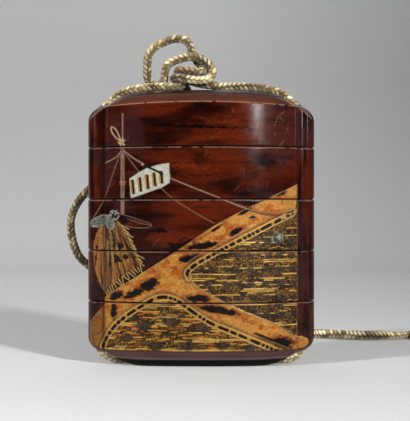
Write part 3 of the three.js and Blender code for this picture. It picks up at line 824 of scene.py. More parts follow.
# Seedlings of the lower field: x, z, size.
TUFTS = [(-15, 10.2, 2.9), (-7.6, 11.2, 2.9), (0.4, 9.8, 2.5), (-19.4, 6.9, 2.3), (-11.6, 5, 2.7),
         (-3.6, 5.2, 2.9), (5.4, 5.3, 2.5), (12.3, 4.7, 2.0)]
STRAW_LEFT = [(-25.6, 37), (-26.9, 35.6), (-28.1, 32.3), (-28.15, 28), (-27.8, 25), (-26.5, 21.4),
              (-25.2, 19.2), (-24.3, 18.6)]
STRAW_RIGHT = [(-24.3, 18.6), (-22.9, 21), (-20.7, 22.5), (-17.8, 24.5), (-15.6, 26.2), (-17.4, 30.6),
               (-19.5, 35.2), (-21.4, 37.6)]
STRAW_FOOT = 18.5
POLE_X, POLE_LOW, POLE_TOP, POLE_NODE = -20.35, 39.4, 66, 47.7
BOARD = [(-18.6, 48.8), (-16.2, 50.4), (-13.9, 51.6), (-10.6, 52.5), (-8.2, 52.8), (-8.0, 47.8),
         (-10.1, 46.5), (-18.2, 43.7)]
TUBES = [  # x, lowest and highest z
    (-17.4, 44.9, 48.4), (-15.5, 45.5, 49.0), (-13.6, 46.2, 49.7), (-11.8, 46.9, 50.2), (-10.0, 47.6, 50.6)]
STRAP = [(-14.9, 52.4), (-12.4, 51.2), (-9.9, 50.0)]
ROPES = [  # line, width
    ([(-20.4, 56.2), (-18.2, 53.4), (-16.2, 50.7)], 0.18),
    ([(-20.1, 56.1), (-17.6, 54.2), (-14.7, 52.5)], 0.26),
    ([(-20.7, 56), (-22.2, 54.4), (-24.8, 53.1)], 0.22),
    ([(-20.8, 56), (-23.1, 49.7), (-25.2, 43.9), (-28.4, 38.6)], 0.16),
    ([(-8.1, 49), (-2.8, 46.8), (2.3, 44.8), (11.8, 41), (17, 39.6), (20.6, 39)], 0.24),
    ([(-10.3, 46.4), (-7.4, 43.8), (-2.1, 40.4), (3.4, 37.3)], 0.16),
    ([(-20.4, 39.6), (-16, 38.2), (-12.7, 36.9), (-13.2, 36.3), (-16.8, 36.2), (-19.8, 36.6)], 0.12),
    ([(-20, 38.8), (-15.5, 37.3), (-12.6, 36.7)], 0.10)]
ROPE_SHADOW = [(20.2, 39.2), (14, 40.2), (9.8, 41.8)]
ROPE_END = [(20.4, 39), (22.3, 38.6), (24.3, 39.4), (24.4, 41.2)]
KNOT = (-20.6, 58.3)
KNOT_TURNS = [(0.2, 1.1, 0.5, -0.2), (-0.8, 0.6, 0.7, 0.1), (-0.6, -0.1, 0.9, -0.7), (-0.9, 0.0, 0.1, -1.2),
              (-0.2, 0.8, -0.3, -1.3), (0.1, 0.3, 0.9, 0.6), (-0.5, 0.9, 0.4, 0.2), (0.3, -0.2, 0.6, -1.2)]
BOW_LOOP = [(-20.8, 58.6), (-22.0, 61.4), (-23.2, 62.4), (-23.4, 61.4), (-22.2, 59.6), (-20.9, 58.5)]
FOOT_MARKS = [[(-22.4, 5.2), (-22, 5.6), (-21.6, 5.2)], [(-21.3, 5.5), (-20.9, 5.1), (-20.5, 5.5)],
              [(-20.1, 5.2), (-19.6, 5.5)]]
SCRATCHES = [(19, 62.4, 20, 65.2), (20.2, 65, 21.4, 63.8), (20.6, 65.4, 21.5, 66.3), (20.3, 57, 21.3, 58.7),
             (19.8, 57.6, 20.9, 56.7), (14.7, 62.8, 15, 63.8), (22.2, 60.8, 22.5, 62),
             (-18.4, 44.4, -17.7, 45.2)]


def bend(points, step=0.6):
    """A smooth line through points of the face."""
    return smooth_line([[a, b, 0] for a, b in points], step)[0][:, :2]


def to_line(x, z, line):
    """Distance to a line of points, the length along it, and which side: above zero on its left."""
    line = np.asarray(line, float)
    best, along, side = np.full(x.shape, 1e9), np.zeros(x.shape), np.zeros(x.shape)
    length = 0
    for (ax, az), (bx, bz) in zip(line, line[1:]):
        dx, dz = bx - ax, bz - az
        size = math.hypot(dx, dz)
        t = np.clip(((x - ax) * dx + (z - az) * dz) / size**2, 0, 1)
        d = np.hypot(x - ax - t * dx, z - az - t * dz)
        near = d < best
        best, along = np.where(near, d, best), np.where(near, length + t * size, along)
        side = np.where(near, dx * (z - az) - dz * (x - ax), side)
        length += size
    return best, along, np.sign(side)


def inside(x, z, shape):
    """Whether each point is in a closed shape."""
    hit = np.zeros(x.shape, bool)
    for (ax, az), (bx, bz) in zip(shape, list(shape[1:]) + [shape[0]]):
        if az != bz:
            hit ^= ((az > z) != (bz > z)) & (x < (bx - ax) * (z - az) / (bz - az) + ax)
    return hit


def turned(x, z, cx, cz, a, b, degrees):
    """Places in a turned ellipse, as shares of its half length and half height."""
    c, s = math.cos(math.radians(degrees)), math.sin(math.radians(degrees))
    return (c * (x - cx) + s * (z - cz)) / a, (c * (z - cz) - s * (x - cx)) / b


def blot(x, z, spots, ragged=0.35, seed=20):
    """Above 0 inside the ellipses and below 0 outside them, with ragged edges."""
    most = np.full(x.shape, -9.0)
    edge = ragged * (clouds(seed, x / 0.9, z / 0.55, octaves=3) - 0.5) * 4
    for spot in spots:
        most = np.maximum(most, 1 - np.hypot(*turned(x, z, *spot)) + edge)
    return most


class Coat:
    """The coats of lacquer, gold and silver at each point, laid one over another."""

    def __init__(self, x, z):
        self.x, self.z = x, z
        self.colour = np.zeros((len(x), 3))
        self.finish = np.zeros((len(x), 3))
        self.height = np.zeros(len(x))

    def lay(self, mask, colour, rough=None, metal=None, flecks=None, height=None):
        m = np.clip(mask, 0, 1)
        self.colour += (colour - self.colour) * m[:, None]
        for k, v in enumerate((rough, metal, flecks)):
            if v is not None:
                self.finish[:, k] += (v - self.finish[:, k]) * m
        if height is not None:
            self.height += (height - self.height) * m

    def within(self, low_x, high_x, low_z, high_z):
        """The points in one box of the face, as a coat of their own."""
        keep = np.flatnonzero((self.x > low_x) & (self.x < high_x) & (self.z > low_z) & (self.z < high_z))
        part = Coat(self.x[keep], self.z[keep])
        part.keep = keep
        for layer in ("colour", "finish", "height"):
            setattr(part, layer, getattr(self, layer)[keep])
        return part

    def join(self, part):
        for layer in ("colour", "finish", "height"):
            getattr(self, layer)[part.keep] = getattr(part, layer)

    def away(self, points, step=0.6):
        """Distance to a smooth line through points."""
        return to_line(self.x, self.z, bend(points, step))[0]

    def oval(self, cx, cz, a=1, b=1):
        """Distance from the centre of an ellipse, where 1 is its edge."""
        return np.hypot((self.x - cx) / a, (self.z - cz) / b)


def scattered(seed, x, z, cell, half_length, half_width, lean=0, spread=0, share=1.0):
    """1 on short strokes, one to a cell. lean is their slope in degrees, share how many cells have one."""
    hit = np.zeros(x.shape)
    column, row = np.floor(x / cell), np.floor(z / cell)
    for i, k in itertools.product((-1, 0, 1), repeat=2):
        a, b = column + i, row + k
        h = [hashed(seed + 7 * n, a, b) for n in range(5)]
        angle = np.radians(lean + spread * (2 * h[2] - 1))
        c, s = np.cos(angle), np.sin(angle)
        dx, dz = x - (a + h[0]) * cell, z - (b + h[1]) * cell
        d = np.hypot(np.maximum(np.abs(c * dx + s * dz) - half_length * (0.4 + h[3]), 0), c * dz - s * dx)
        hit = np.maximum(hit, ramp(d, half_width + 0.07, half_width) * (h[4] < share))
    return hit


def drawn(coat, strokes, half):
    """1 on straight brush strokes, each given as x, z, x, z."""
    hit, reach = np.zeros(coat.x.shape), 0.3
    for ax, az, bx, bz in strokes:
        near = np.flatnonzero((coat.x > min(ax, bx) - reach) & (coat.x < max(ax, bx) + reach)
                              & (coat.z > min(az, bz) - reach) & (coat.z < max(az, bz) + reach))
        d = to_line(coat.x[near], coat.z[near], [(ax, az), (bx, bz)])[0]
        hit[near] = np.maximum(hit[near], ramp(d, half + 0.08, half))
    return hit


def lay_lacquer(coat, back=False):
    """Red-brown lacquer with level marbling, dark clouds, a painted sheen towards the sides and fine
    scratches.
    """
    x, z, side = coat.x + (90 if back else 0), coat.z, np.abs(coat.x)
    warp = 2.2 * (noise(2, x / 9, z / 5) - 0.5)
    streak = clouds(3, x / 12, (z + warp) / 2.2, octaves=3)
    broad = clouds(7, x / 16, z / 9, octaves=2)
    warm = ramp(0.45 * streak + 0.55 * broad, 0.34, 0.68)
    coat.lay(np.ones(len(x)), blend(DEEP, WARM, warm), rough=0.12, metal=0.0, flecks=0.0, height=0.0)
    if not back:
        grain = ramp(clouds(17, x / 0.9, z / 11), 0.36, 0.62)
        coat.lay(ramp(side, 24.9, 25.6), blend(DEEP, tint(112, 42, 22), grain))
    line = ramp(clouds(9, x / 14, (z + warp) / 0.8, octaves=3), 0.60, 0.78) * ramp(side, 26, 25)
    coat.lay(0.5 * line, BLACK)
    murk = ramp(clouds(11, x / 7, z / 3.4, octaves=3), 0.50, 0.74)
    coat.lay(0.6 * murk, BLACK)
    if not back:
        coat.lay(0.9 * ramp(blot(coat.x, z, MURKY, 0.6), 0.0, 0.5), BLACK)
        coat.lay(0.5 * ramp(blot(coat.x, z, GLOWING, 0.5), 0.1, 0.8), tint(150, 58, 18))
    # Painted sheen: a purple-grey haze towards the sides, where the lamps glint in the lacquer.
    painted_sheen = ramp(clouds(13, x / 6, z / 12), 0.42, 0.62) * ramp(side, 11, 17)
    coat.lay(0.5 * painted_sheen, tint(84, 50, 54), rough=0.16)
    grain = clouds(15, x / 1.2, z / 0.5, octaves=3)
    coat.colour *= (0.80 + 0.40 * grain)[:, None]
    for k in range(26):
        a, b, c, d = (pick(31 + k, n) for n in range(4))
        start = np.array([27 * a, 44 + 24 * b]) if k % 2 else np.array([-24 + 50 * a, 19 + 48 * b])
        angle, reach = math.radians(35 + 90 * c), 0.5 + 2.2 * d**2
        end = start + reach * np.array([math.cos(angle), math.sin(angle)])
        distance, _, _ = to_line(coat.x, z, [start, end])
        coat.lay(0.4 * ramp(distance, 0.12, 0.03), tint(176, 110, 90), rough=0.3)
    if not back:
        coat.lay(drawn(coat, SCRATCHES, 0.04) * 0.45, tint(196, 150, 120), rough=0.3)


def lay_field(coat, deep, tufts, dashes):
    """Flooded rice field: gold sprinkling, level lines and seedlings. deep is the way in from its edge."""
    x, z = coat.x, coat.z
    here = ramp(deep, 0.0, 0.1)
    ground = clouds(40, x / 1.6, z / 1.0)
    coat.lay(here, blend(GROUND, tint(66, 44, 30), ramp(ground, 0.44, 0.70)),
             rough=0.3, metal=0.05, flecks=0.4, height=0.05)
    coat.lay(here * 0.8 * ramp(clouds(46, x / 2.1, z / 1.3), 0.53, 0.62), tint(30, 22, 20))
    thick = ramp(clouds(47, x / 2.8, z / 1.6, octaves=3), 0.36, 0.58)
    dust = scattered(400, x, z, 0.44, 0.05, 0.05, 0, 90, 0.75)
    coat.lay(here * dust * (0.2 + 0.7 * thick), tint(214, 160, 70), metal=0.2)
    for seed, lean in ((410, 58), (420, 122), (430, 10)):
        stroke = scattered(seed, x, z, 0.8, 0.30, 0.04, lean, 24, 0.55)
        coat.lay(here * stroke * (0.1 + 0.6 * thick), tint(206, 152, 74), metal=0.3, height=0.06)
    grains = scattered(440, x, z, 0.9, 0.04, 0.09, 0, 90, 0.35)
    coat.lay(here * grains * 0.7, tint(244, 206, 130), metal=0.2, height=0.08)
    for seed, reach, half, share in dashes:
        dash = scattered(seed, x, z, 1.5, reach, half, 0, 2, share)
        coat.lay(here * dash * 0.9, blend(GOLD, ORANGE, ramp(noise(seed + 1, x / 1.6, z / 0.7), 0.4, 0.7)),
                 metal=0.35, height=0.09)
    lay_water_lines(coat, here)
    for tuft in tufts:
        lay_tuft(coat, here, *tuft)


def lay_water_lines(coat, here):
    """Pairs of level gold lines, broken into short and long lengths."""
    x = coat.x
    level = coat.z + 0.16 * (noise(50, x / 7, coat.z / 4) - 0.5)
    for row, seed, longer in ((2.05, 500, 5.5), (3.1, 510, 3.0)):
        index = np.floor(level / row)
        middle = (index + 0.3 + 0.4 * hashed(seed, index)) * row
        start = 9 * hashed(seed + 1, index)
        for part, gap in ((0, 0.25), (1, -0.25)):
            there = ramp(noise(seed + 2 + part, x / longer + start, index), 0.56, 0.61)
            shade = (0.62 + 0.5 * noise(seed + 4, x / 1.3, index + part))[:, None]
            coat.lay(here * there * ramp(np.abs(level - middle - gap), 0.16, 0.06),
                     tint(255, 204, 104) * (1.7 * shade), rough=0.34, metal=0.35, height=0.10)


def lay_tuft(coat, here, cx, cz, size):
    """One seedling: smoke-grey blades fanning up from the water."""
    dx, dz = coat.x - cx, coat.z - cz + 0.35 * size
    reach, fan = np.hypot(dx, dz), np.arctan2(dx, dz)
    blades = 0.5 + 0.5 * np.cos(fan * 19 + 4 * np.sin(fan * 5 + cx))
    far = size * (0.86 + 0.4 * noise(60, fan * 9 + cx, fan * 0))
    tuft = ramp(reach, far + 0.2, far - 0.25) * ramp(np.abs(fan), 1.15, 0.85) * ramp(dz, 0.0, 0.3 * size)
    coat.lay(here * tuft * 0.9, tint(40, 36, 38), metal=0.1)
    coat.lay(here * tuft * ramp(blades, 0.45, 0.8) * 0.8, SMOKE * 0.55, rough=0.4, metal=0.1, height=0.08)


def lay_band(coat, distance, along, seed):
    """A bank between path and field: solid gold with dark lozenges, some of them run together."""
    half = HALF_BAND
    coat.lay(ramp(distance, half + 0.12, half), tint(240, 184, 88),
             rough=0.34, metal=0.35, flecks=0.3, height=0.12)
    coat.lay(ramp(np.abs(distance - half + 0.06), 0.11, 0.04), PALE_GOLD, metal=0.4, height=0.15)
    cell = along / LOZENGE + 0.3 * np.sin(along * 0.7 + seed)
    index, pair = np.floor(cell), np.floor(cell / 2)
    merged = hashed(seed, pair) > 0.5
    offset = np.where(merged, cell - 2 * pair - 1, cell - index - 0.5) * LOZENGE
    reach = np.where(merged, 0.75, 0.12) + 0.25 * hashed(seed + 1, index)
    tall = 0.38 + 0.14 * noise(seed + 2, along / 0.8, along * 0)
    dark = ramp(np.hypot(np.maximum(np.abs(offset) - reach, 0) / 0.38, distance / tall), 1.12, 0.85)
    coat.lay(dark * (distance < half), tint(42, 22, 12), rough=0.34, metal=0.0, flecks=0.0, height=0.05)


def lay_sprinkled(coat, mask, on_ear):
    """The path's gold: sprinkled, rubbed, peppered with rust and worn through in places."""
    x, z = coat.x, coat.z
    grain = clouds(71, x / 2.2, z / 1.3)
    fine = clouds(72, x / 0.5, z / 0.4, octaves=3)
    base = blend(GOLD, ORANGE, ramp(grain, 0.50, 0.68))
    base = base * (0.46 + 0.56 * fine + 0.50 * noise(67, x / 0.3, z / 0.3))[:, None]
    coat.lay(mask, base, rough=0.36, metal=0.25, flecks=0.4, height=0.11)
    rub = ramp(0.6 * clouds(73, x / 1.3, z / 0.9) + 0.4 * fine, 0.56, 0.66)
    coat.lay(mask * 0.4 * rub, tint(132, 74, 26), rough=0.40, metal=0.15)
    specks = scattered(740, x, z, 0.5, 0.03, 0.06, 0, 90, 0.3)
    coat.lay(mask * 0.5 * specks * ramp(grain, 0.38, 0.55), RUST)
    pepper = ramp(hashed(74, np.floor(x / 0.21), np.floor(z / 0.21)), 0.90, 0.97)
    coat.lay(mask * 0.4 * (pepper * ramp(grain, 0.35, 0.6)), RUST)
    coat.lay(on_ear * 0.8, DULL_GOLD * (0.25 + 1.5 * fine)[:, None], rough=0.38, metal=0.2)
    worn = blot(x, z, WORN, 0.28)
    coat.lay(mask * ramp(worn, -0.75, -0.1) * 0.55, ORANGE * 0.85, rough=0.40, metal=0.15)
    coat.lay(mask * ramp(worn, -0.38, 0.0) * 0.85, tint(96, 40, 18), rough=0.36, metal=0.05, height=0.09)
    coat.lay(mask * ramp(worn, -0.08, 0.2), tint(24, 15, 15), rough=0.16, metal=0.0, flecks=0.0, height=0.07)


def lay_path(coat):
    """The raised path with its banks, and the field on each side of its branch."""
    x, z = coat.x, coat.z
    branch, upper, lower = bend(BRANCH_TOP), bend(UPPER_BAND), bend(LOWER_BAND)
    top_d, _, top_side = to_line(x, z, bend(PATH_TOP))
    upper_d, upper_s, _ = to_line(x, z, upper)
    lower_d, lower_s, _ = to_line(x, z, lower)
    branch_d, _, _ = to_line(x, z, branch)
    field_a = inside(x, z, [*upper, *branch[1:], (26.4, 20), (26.5, 40.6)])
    field_a = field_a & (np.abs(x) < CHEST_HALF_WIDTH - 0.2)
    field_b = inside(x, z, [*lower, (21.8, 3), (-26, 3)])
    ear = (x < -CHEST_HALF_WIDTH) & (z < 16.75)
    ear_top = z - (EAR_LOW + (x + EAR_LEFT) * EAR_SLOPE)
    rim_x = -29.35 + 0.25 * noise(70, z / 2, 0 * z)
    on_ear = ear * ramp(ear_top, 0.08, -0.05) * ramp(x - rim_x, 0, 0.12)
    tip = ramp(coat.oval(24.9, 6.1, 3.4, 1.7), 1.04, 0.96) * (x > 24.5)
    chest = np.where(top_side < 0, ramp(top_d, 0.0, 0.07), 0) * (x > -25.25) * ramp(x, 25.3, 25.0)
    mask = np.maximum(np.maximum(chest * ~(field_a & (branch_d > 0.02)), on_ear), tip) * ~field_b
    lay_sprinkled(coat, mask, on_ear)
    edge = ramp(top_d, 0.26, 0.12) * chest
    coat.lay(edge * (0.65 + 0.35 * ramp(noise(75, x / 1.7, z), 0.3, 0.6)), tint(232, 188, 140),
             metal=0.5, height=0.17)
    outer = ramp(np.abs(x - rim_x - 0.15), 0.2, 0.1) * on_ear
    outer = outer + ear * ramp(np.abs(ear_top), 0.22, 0.1) * (x > -29.3)
    coat.lay(np.clip(outer, 0, 1) * 0.8, tint(214, 170, 120), metal=0.5, height=0.15)
    for distance in (upper_d, lower_d):
        out, near = distance - HALF_BAND, mask * (distance < 2.2)
        coat.lay(near * ramp(np.abs(out - 0.45), 0.36, 0.2) * 0.6, tint(128, 92, 52),
                 rough=0.42, metal=0.2, height=0.05)
        coat.lay(near * ramp(np.abs(out - 0.98), 0.15, 0.06) * 0.7, tint(226, 178, 112),
                 metal=0.5, height=0.15)
    seedlings = [(cx + 1.6 * pick(80, cx * 7 + cz), cz, 1.5)
                 for cz in FIELD_ROWS for cx in np.arange(-2, 24, FIELD_STEP)
                 if cx > 17 - 1.5 * cz + 8 and cz < 25.5 + 0.45 * cx and cz > 17.5 - 0.62 * cx + 1.5]
    lay_field(coat, np.where(field_a, np.minimum(upper_d, branch_d), -1), seedlings, [(520, 0.5, 0.06, 0.4)])
    lay_field(coat, np.where(field_b, lower_d, -1), TUFTS, [(530, 0.7, 0.09, 0.6), (540, 0.9, 0.14, 0.35)])
    lay_moon(coat)
    for rim in (field_a * ramp(branch_d, 0.2, 0.08),
                ramp(branch_d, 0.24, 0.1) * (x > -2.6) * ~field_a * (x < 26.5)):
        coat.lay(rim, tint(232, 186, 118), metal=0.5, height=0.15)
    upper_on = (x < 24.2) & (field_a | (upper_d < HALF_BAND + 0.2))
    lay_band(coat, np.where(upper_on, upper_d, 9), upper_s, 90)
    hook = coat.away(HOOK, 0.3)
    coat.lay(ramp(hook, 0.32, 0.2) * (x < 25.3), tint(52, 28, 16), height=0.05)
    coat.lay(ramp(np.abs(hook - 0.3), 0.12, 0.04) * (x < 25.3), PALE_GOLD * 0.8, metal=0.3, height=0.12)
    lay_band(coat, np.where(z > base_edge(x) - 0.1, lower_d, 9), lower_s, 95)


def lay_moon(coat):
    """A mottled silver disc at the right of the upper field."""
    x, z = coat.x, coat.z
    bloom = clouds(76, x / 0.8, z / 0.8, octaves=3)
    disc = coat.oval(19.9, 33.6, 2.2, 2.0) + 0.7 * (bloom - 0.5)
    vein = ramp(noise(77, x / 0.32, z / 0.9), 0.25, 0.6)
    shade = (0.15 + 0.9 * ramp(bloom, 0.38, 0.66)) * (0.45 + 0.75 * vein)
    coat.lay(ramp(disc, 1.05, 0.5) * 0.85, SILVER * shade[:, None], rough=0.4, metal=0.2, height=0.06)


def lay_straw(coat):
    """A bundle of straw, its stalks fanning down from the tie and fraying at the right."""
    x, z = coat.x, coat.z
    left, right = bend(STRAW_LEFT), bend(STRAW_RIGHT, 0.42)
    body = [*left, *right[1:]]
    edge, _, _ = to_line(x, z, body + [body[0]])
    way = np.arctan2(x + 25.5, 48 - z)
    deep = np.where(inside(x, z, body), edge, -edge)
    mask = ramp(deep, -0.05, 0.08)
    stalk = noise(101, way * 130, z / 7)
    thick = noise(102, way * 46, z / 9)
    tone = blend(tint(228, 152, 84), tint(285, 212, 112), ramp(thick, 0.4, 0.7))
    tone = tone * (0.45 + 1.0 * stalk)[:, None]
    # Painted reflection: the straw's gold greys over the chest's corner, where it turns into the runner.
    corner_sheen = ramp(x, -22.6, -23.6) * ramp(x, -25.9, -25.2)
    coat.lay(mask, blend(tone, tint(128, 98, 76), 0.7 * corner_sheen),
             rough=0.36, metal=0.4, flecks=0.25, height=0.10 + 0.05 * stalk)
    loose = ramp(x + 0.28 * z, -16.6, -11.5)
    gap = ramp(0.6 * stalk + 0.4 * thick, 0.57 - 0.16 * loose, 0.64 - 0.16 * loose)
    coat.lay(mask * gap * 0.95, tint(34, 15, 12), rough=0.3, metal=0.05, height=0.03)
    hull = ramp(clouds(104, x / 1.1, z / 2.4), 0.56, 0.66) * loose
    coat.lay(mask * hull * 0.55, tint(118, 56, 44), metal=0.1)
    spots = blot(x, z, STRAW_SPOTS, 0.3, 24)
    coat.lay(mask * ramp(spots, 0.0, 0.2), tint(22, 14, 16), rough=0.2, metal=0.0, height=0.06)
    # Painted highlight: a pale gold line along the bundle's left rim.
    rim, _, _ = to_line(x, z, left)
    coat.lay(mask * ramp(rim, 0.24, 0.1) * 0.8, tint(222, 178, 116), height=0.15)
    lay_fringe(coat, right)
    lay_ribs(coat, ramp(deep, 0.2, 0.5))


def lay_fringe(coat, right):
    """Loose ends that stick out of the bundle's right side, with dark notches between them."""
    fringe, notches = [], []
    for k, (ax, az) in enumerate(right):
        a, b = pick(105, k), pick(106, k)
        out = math.radians(-50 + 26 * a if az > 26.2 else -78 + 50 * a)
        c, s = math.cos(out), math.sin(out)
        if k % 2:
            c, s = (0.5 + b) * c, (0.5 + b) * s
            notches.append((ax - c, az - s, ax + c, az + s))
        else:
            long = 0.5 + 2.3 * b**1.5
            fringe.append((ax - 0.8 * c, az - 0.8 * s, ax + long * c, az + long * s))
    coat.lay(drawn(coat, notches, 0.09) * (coat.z > STRAW_FOOT), tint(24, 12, 10), height=0.02)
    coat.lay(drawn(coat, fringe, 0.06) * (coat.z > STRAW_FOOT), tint(250, 206, 124), metal=0.15, rough=0.4)


def lay_ribs(coat, here):
    """Single bright and dark stalks inside the bundle."""
    ribs = []
    for k in range(26):
        a, b, c = (pick(108 + n, k) for n in range(3))
        turn = math.radians(-3 + 30 * a)
        near = 11.5 + 12 * b
        far = near + 2 + 4 * c
        ribs.append((-25.2 + near * math.sin(turn), 48 - near * math.cos(turn),
                     -25.2 + far * math.sin(turn), 48 - far * math.cos(turn)))
    coat.lay(drawn(coat, ribs[:15], 0.06) * here * 0.8, tint(240, 200, 126), metal=0.3, height=0.15)
    coat.lay(drawn(coat, ribs[15:], 0.09) * here * 0.7, tint(60, 28, 22), height=0.04)


def lay_clapper(coat):
    lay_pole(coat)
    lay_ropes(coat)
    lay_board(coat)
    lay_pole_knot(coat)


def lay_pole(coat):
    """A bamboo pole that thins towards its top, with one node."""
    x, z = coat.x, coat.z
    off, from_node = np.abs(x - POLE_X), np.abs(z - POLE_NODE)
    width = 0.13 + 0.33 * ramp(z, 60.5, 54.5)
    pole = ramp(off, width + 0.1, width) * ramp(z, POLE_LOW, POLE_LOW + 0.3)
    pole = pole * ramp(z, POLE_TOP, POLE_TOP - 0.6)
    cane = 0.82 + 0.36 * noise(110, x * 0 + 3, z / 1.4)
    coat.lay(pole * (0.78 + 0.22 * ramp(noise(111, x / 0.5, z / 2), 0.2, 0.5)),
             tint(196, 152, 128) * cane[:, None], rough=0.38, metal=0.35, height=0.14)
    groove = ramp(off, 0.16, 0.06) * ramp(from_node, 2.4, 1.6) * ramp(from_node, 0.5, 0.8)
    coat.lay(pole * groove, tint(50, 22, 18), height=0.05)
    node = ramp(np.abs(from_node - 0.28), 0.16, 0.06) * ramp(off, 0.85, 0.65)
    coat.lay(node, tint(216, 178, 150), height=0.2)


def lay_ropes(coat):
    """Twisted ropes, each with a painted shadow round it. Those under 0.2 wide are faint."""
    for line, w in ROPES:
        d, s, _ = to_line(coat.x, coat.z, bend(line))
        ply = 0.55 + 0.45 * ramp(np.sin(s * 7.5 + 2.5 * d / w), -0.4, 0.5)
        faint = 0.5 if w < 0.2 else 1.0
        # Painted shadow round the rope.
        coat.lay(ramp(d, w + 0.32, w) * 0.45 * faint, BLACK)
        coat.lay(ramp(d, 0.5 * w + 0.09, 0.5 * w) * ply * faint, ROPE * 1.35,
                 rough=0.4, metal=0.35, height=0.16 * faint)
    coat.lay(ramp(coat.away(ROPE_SHADOW), 0.3, 0.12) * 0.7 * (coat.z < 41), tint(40, 24, 20))
    coat.lay(ramp(coat.away(ROPE_END), 0.26, 0.12) * 0.9, tint(236, 196, 130), height=0.16)
    coat.lay(ramp(coat.oval(21.3, 38.8, 1.0, 0.5), 1.0, 0.7), tint(238, 204, 140), height=0.2)


def lay_board(coat):
    """A board of shell with its row of dark tubes and a strap."""
    x, z = coat.x, coat.z
    edge, _, _ = to_line(x, z, BOARD + [BOARD[0]])
    deep = np.where(inside(x, z, BOARD), edge, -edge)
    nacre = clouds(113, x / 1.3, z / 1.7)
    shell = SHELL * (0.80 + 0.4 * nacre)[:, None] + tint(20, 44, 40) * ramp(nacre, 0.5, 0.7)[:, None]
    board = ramp(deep, -0.04, 0.06)
    coat.lay(board, shell, rough=0.26, metal=0.25, flecks=0.0, height=0.18)
    coat.lay(ramp(deep, 0.36, 0.16) * board * 0.75, tint(244, 248, 238), height=0.22)
    for cx, low, high in TUBES:
        off = x - cx + 0.10 * (z - low)
        tall = ramp(z, low - 0.2, low) * ramp(z, high + 0.3, high + 0.1)
        coat.lay(ramp(np.abs(off + 0.42), 0.34, 0.22) * tall, tint(250, 184, 84), metal=0.25, height=0.22)
        coat.lay(ramp(np.abs(off - 0.06), 0.40, 0.28) * tall, tint(22, 13, 10),
                 rough=0.4, metal=0, height=0.12)
        coat.lay(ramp(np.abs(off - 0.46), 0.22, 0.12) * tall * 0.5, tint(236, 196, 128), height=0.2)
    coat.lay(ramp(coat.away(STRAP), 0.36, 0.22), tint(40, 26, 24), height=0.26)
    coat.lay(ramp(coat.oval(-15.1, 52.5), 0.42, 0.25), tint(230, 190, 160), height=0.26)


def lay_pole_knot(coat):
    coat.lay(ramp(coat.away(BOW_LOOP), 0.24, 0.12), tint(226, 190, 148), height=0.18)
    cx, cz = KNOT
    coat.lay(ramp(coat.oval(cx, cz), 1.3, 0.7) * 0.6, BLACK)
    turns = [(cx + a, cz + b, cx + c, cz + d) for a, b, c, d in KNOT_TURNS]
    coat.lay(drawn(coat, turns, 0.09), tint(250, 222, 168), rough=0.4, metal=0.2, height=0.2)


def lay_silver_bow(coat):
    """The silver bow that ties the straw: two creased loops and a knot of chips."""
    x, z = coat.x, coat.z
    lumps = clouds(120, x / 0.7, z / 0.7, octaves=3)
    coat.lay(ramp(coat.oval(-20, 38, 1.5, 1.5), 1.0, 0.6) * 0.85, tint(26, 18, 26), height=0.05)
    for loop in SILVER_LOOPS:
        u, v = turned(x, z, *loop)
        r = np.hypot(u, v) + 0.25 * (lumps - 0.5)
        coat.lay(ramp(r, 1.04, 0.95), SILVER * (0.35 + 0.75 * lumps)[:, None],
                 rough=0.3, metal=0.5, flecks=0, height=0.16)
        crease = ramp(np.abs(noise(122, u * 2.6, v * 4) - 0.5), 0.11, 0.03) * ramp(r, 0.95, 0.85)
        coat.lay(crease * 0.85, tint(38, 36, 32), height=0.06)
        coat.lay(ramp(np.abs(r - 0.93), 0.13, 0.04) * 0.9, tint(222, 224, 208), height=0.2)
    knot = ramp(coat.oval(-22.6, 39.4, 1.5, 1.5), 1.05, 0.85)
    chips = ramp(noise(124, x / 0.42, z / 0.42), 0.42, 0.6)
    coat.lay(knot * 0.9, tint(52, 40, 38), height=0.06)
    coat.lay(knot * chips, tint(206, 200, 184), rough=0.3, metal=0.5, height=0.18)


def picture(x, z):
    """The front's coats at points in millimetres."""
    coat = Coat(x, z)
    lay_lacquer(coat)
    for lay, box in ((lay_straw, (-30, -12, 17, 40)), (lay_path, (-31, 31, 2, 49)),
                     (lay_clapper, (-30, 27, 34, 70)), (lay_silver_bow, (-31, -16, 32, 43))):
        part = coat.within(*box)
        if len(part.x):
            lay(part)
            coat.join(part)
    # Painted reflection of the floor: the underside seen from the front is greyed.
    below = ramp(z - base_edge(x), 0.35, 0.1)
    coat.lay(below, tint(92, 60, 56), rough=0.34, metal=0.0, flecks=0.0, height=0.0)
    for line in FOOT_MARKS:
        distance, _, _ = to_line(x, z, line)
        coat.lay(ramp(distance, 0.2, 0.08), PALE_GOLD, metal=0.5)
    return coat


def raised(block):
    """Moves the front wall's points out by the height of the picture."""
    coat = picture(block[..., 0].ravel(), block[..., 2].ravel())
    out = block.copy()
    out[..., 1] -= coat.height.reshape(block.shape[:2])
    return out


def lacquer_material():
    n = Nodes("lacquer")
    paint_in = n.attribute("paint")
    finish = n.parts(n.attribute("finish"))
    fine = n.noise(1500, 4.0)
    colour = n.mix(n.between(fine, 0.35, 0.7, 0.0, 0.35), paint_in, (0.5, 0.45, 0.45, 1), "MULTIPLY")
    fleck = n.math("MULTIPLY", n.between(n.noise(5200, 1.0), 0.60, 0.70), finish[2])
    colour = n.mix(n.math("MULTIPLY", fleck, 0.55), colour, (*(GOLD * 1.1), 1))
    rough = n.math("ADD", finish[0], n.between(n.noise(300, 3.0), 0.3, 0.7, -0.03, 0.06))
    metal = n.math("MAXIMUM", finish[1], n.math("MULTIPLY", fleck, 0.4))
    grain = n.math("ADD", n.math("MULTIPLY", fine, 0.5), n.math("MULTIPLY", fleck, 0.8))
    return n.finish(Base_Color=colour, Metallic=metal, Roughness=rough, Specular_IOR_Level=0.12,
                    Normal=n.bump(grain, 0.25, 0.00006))


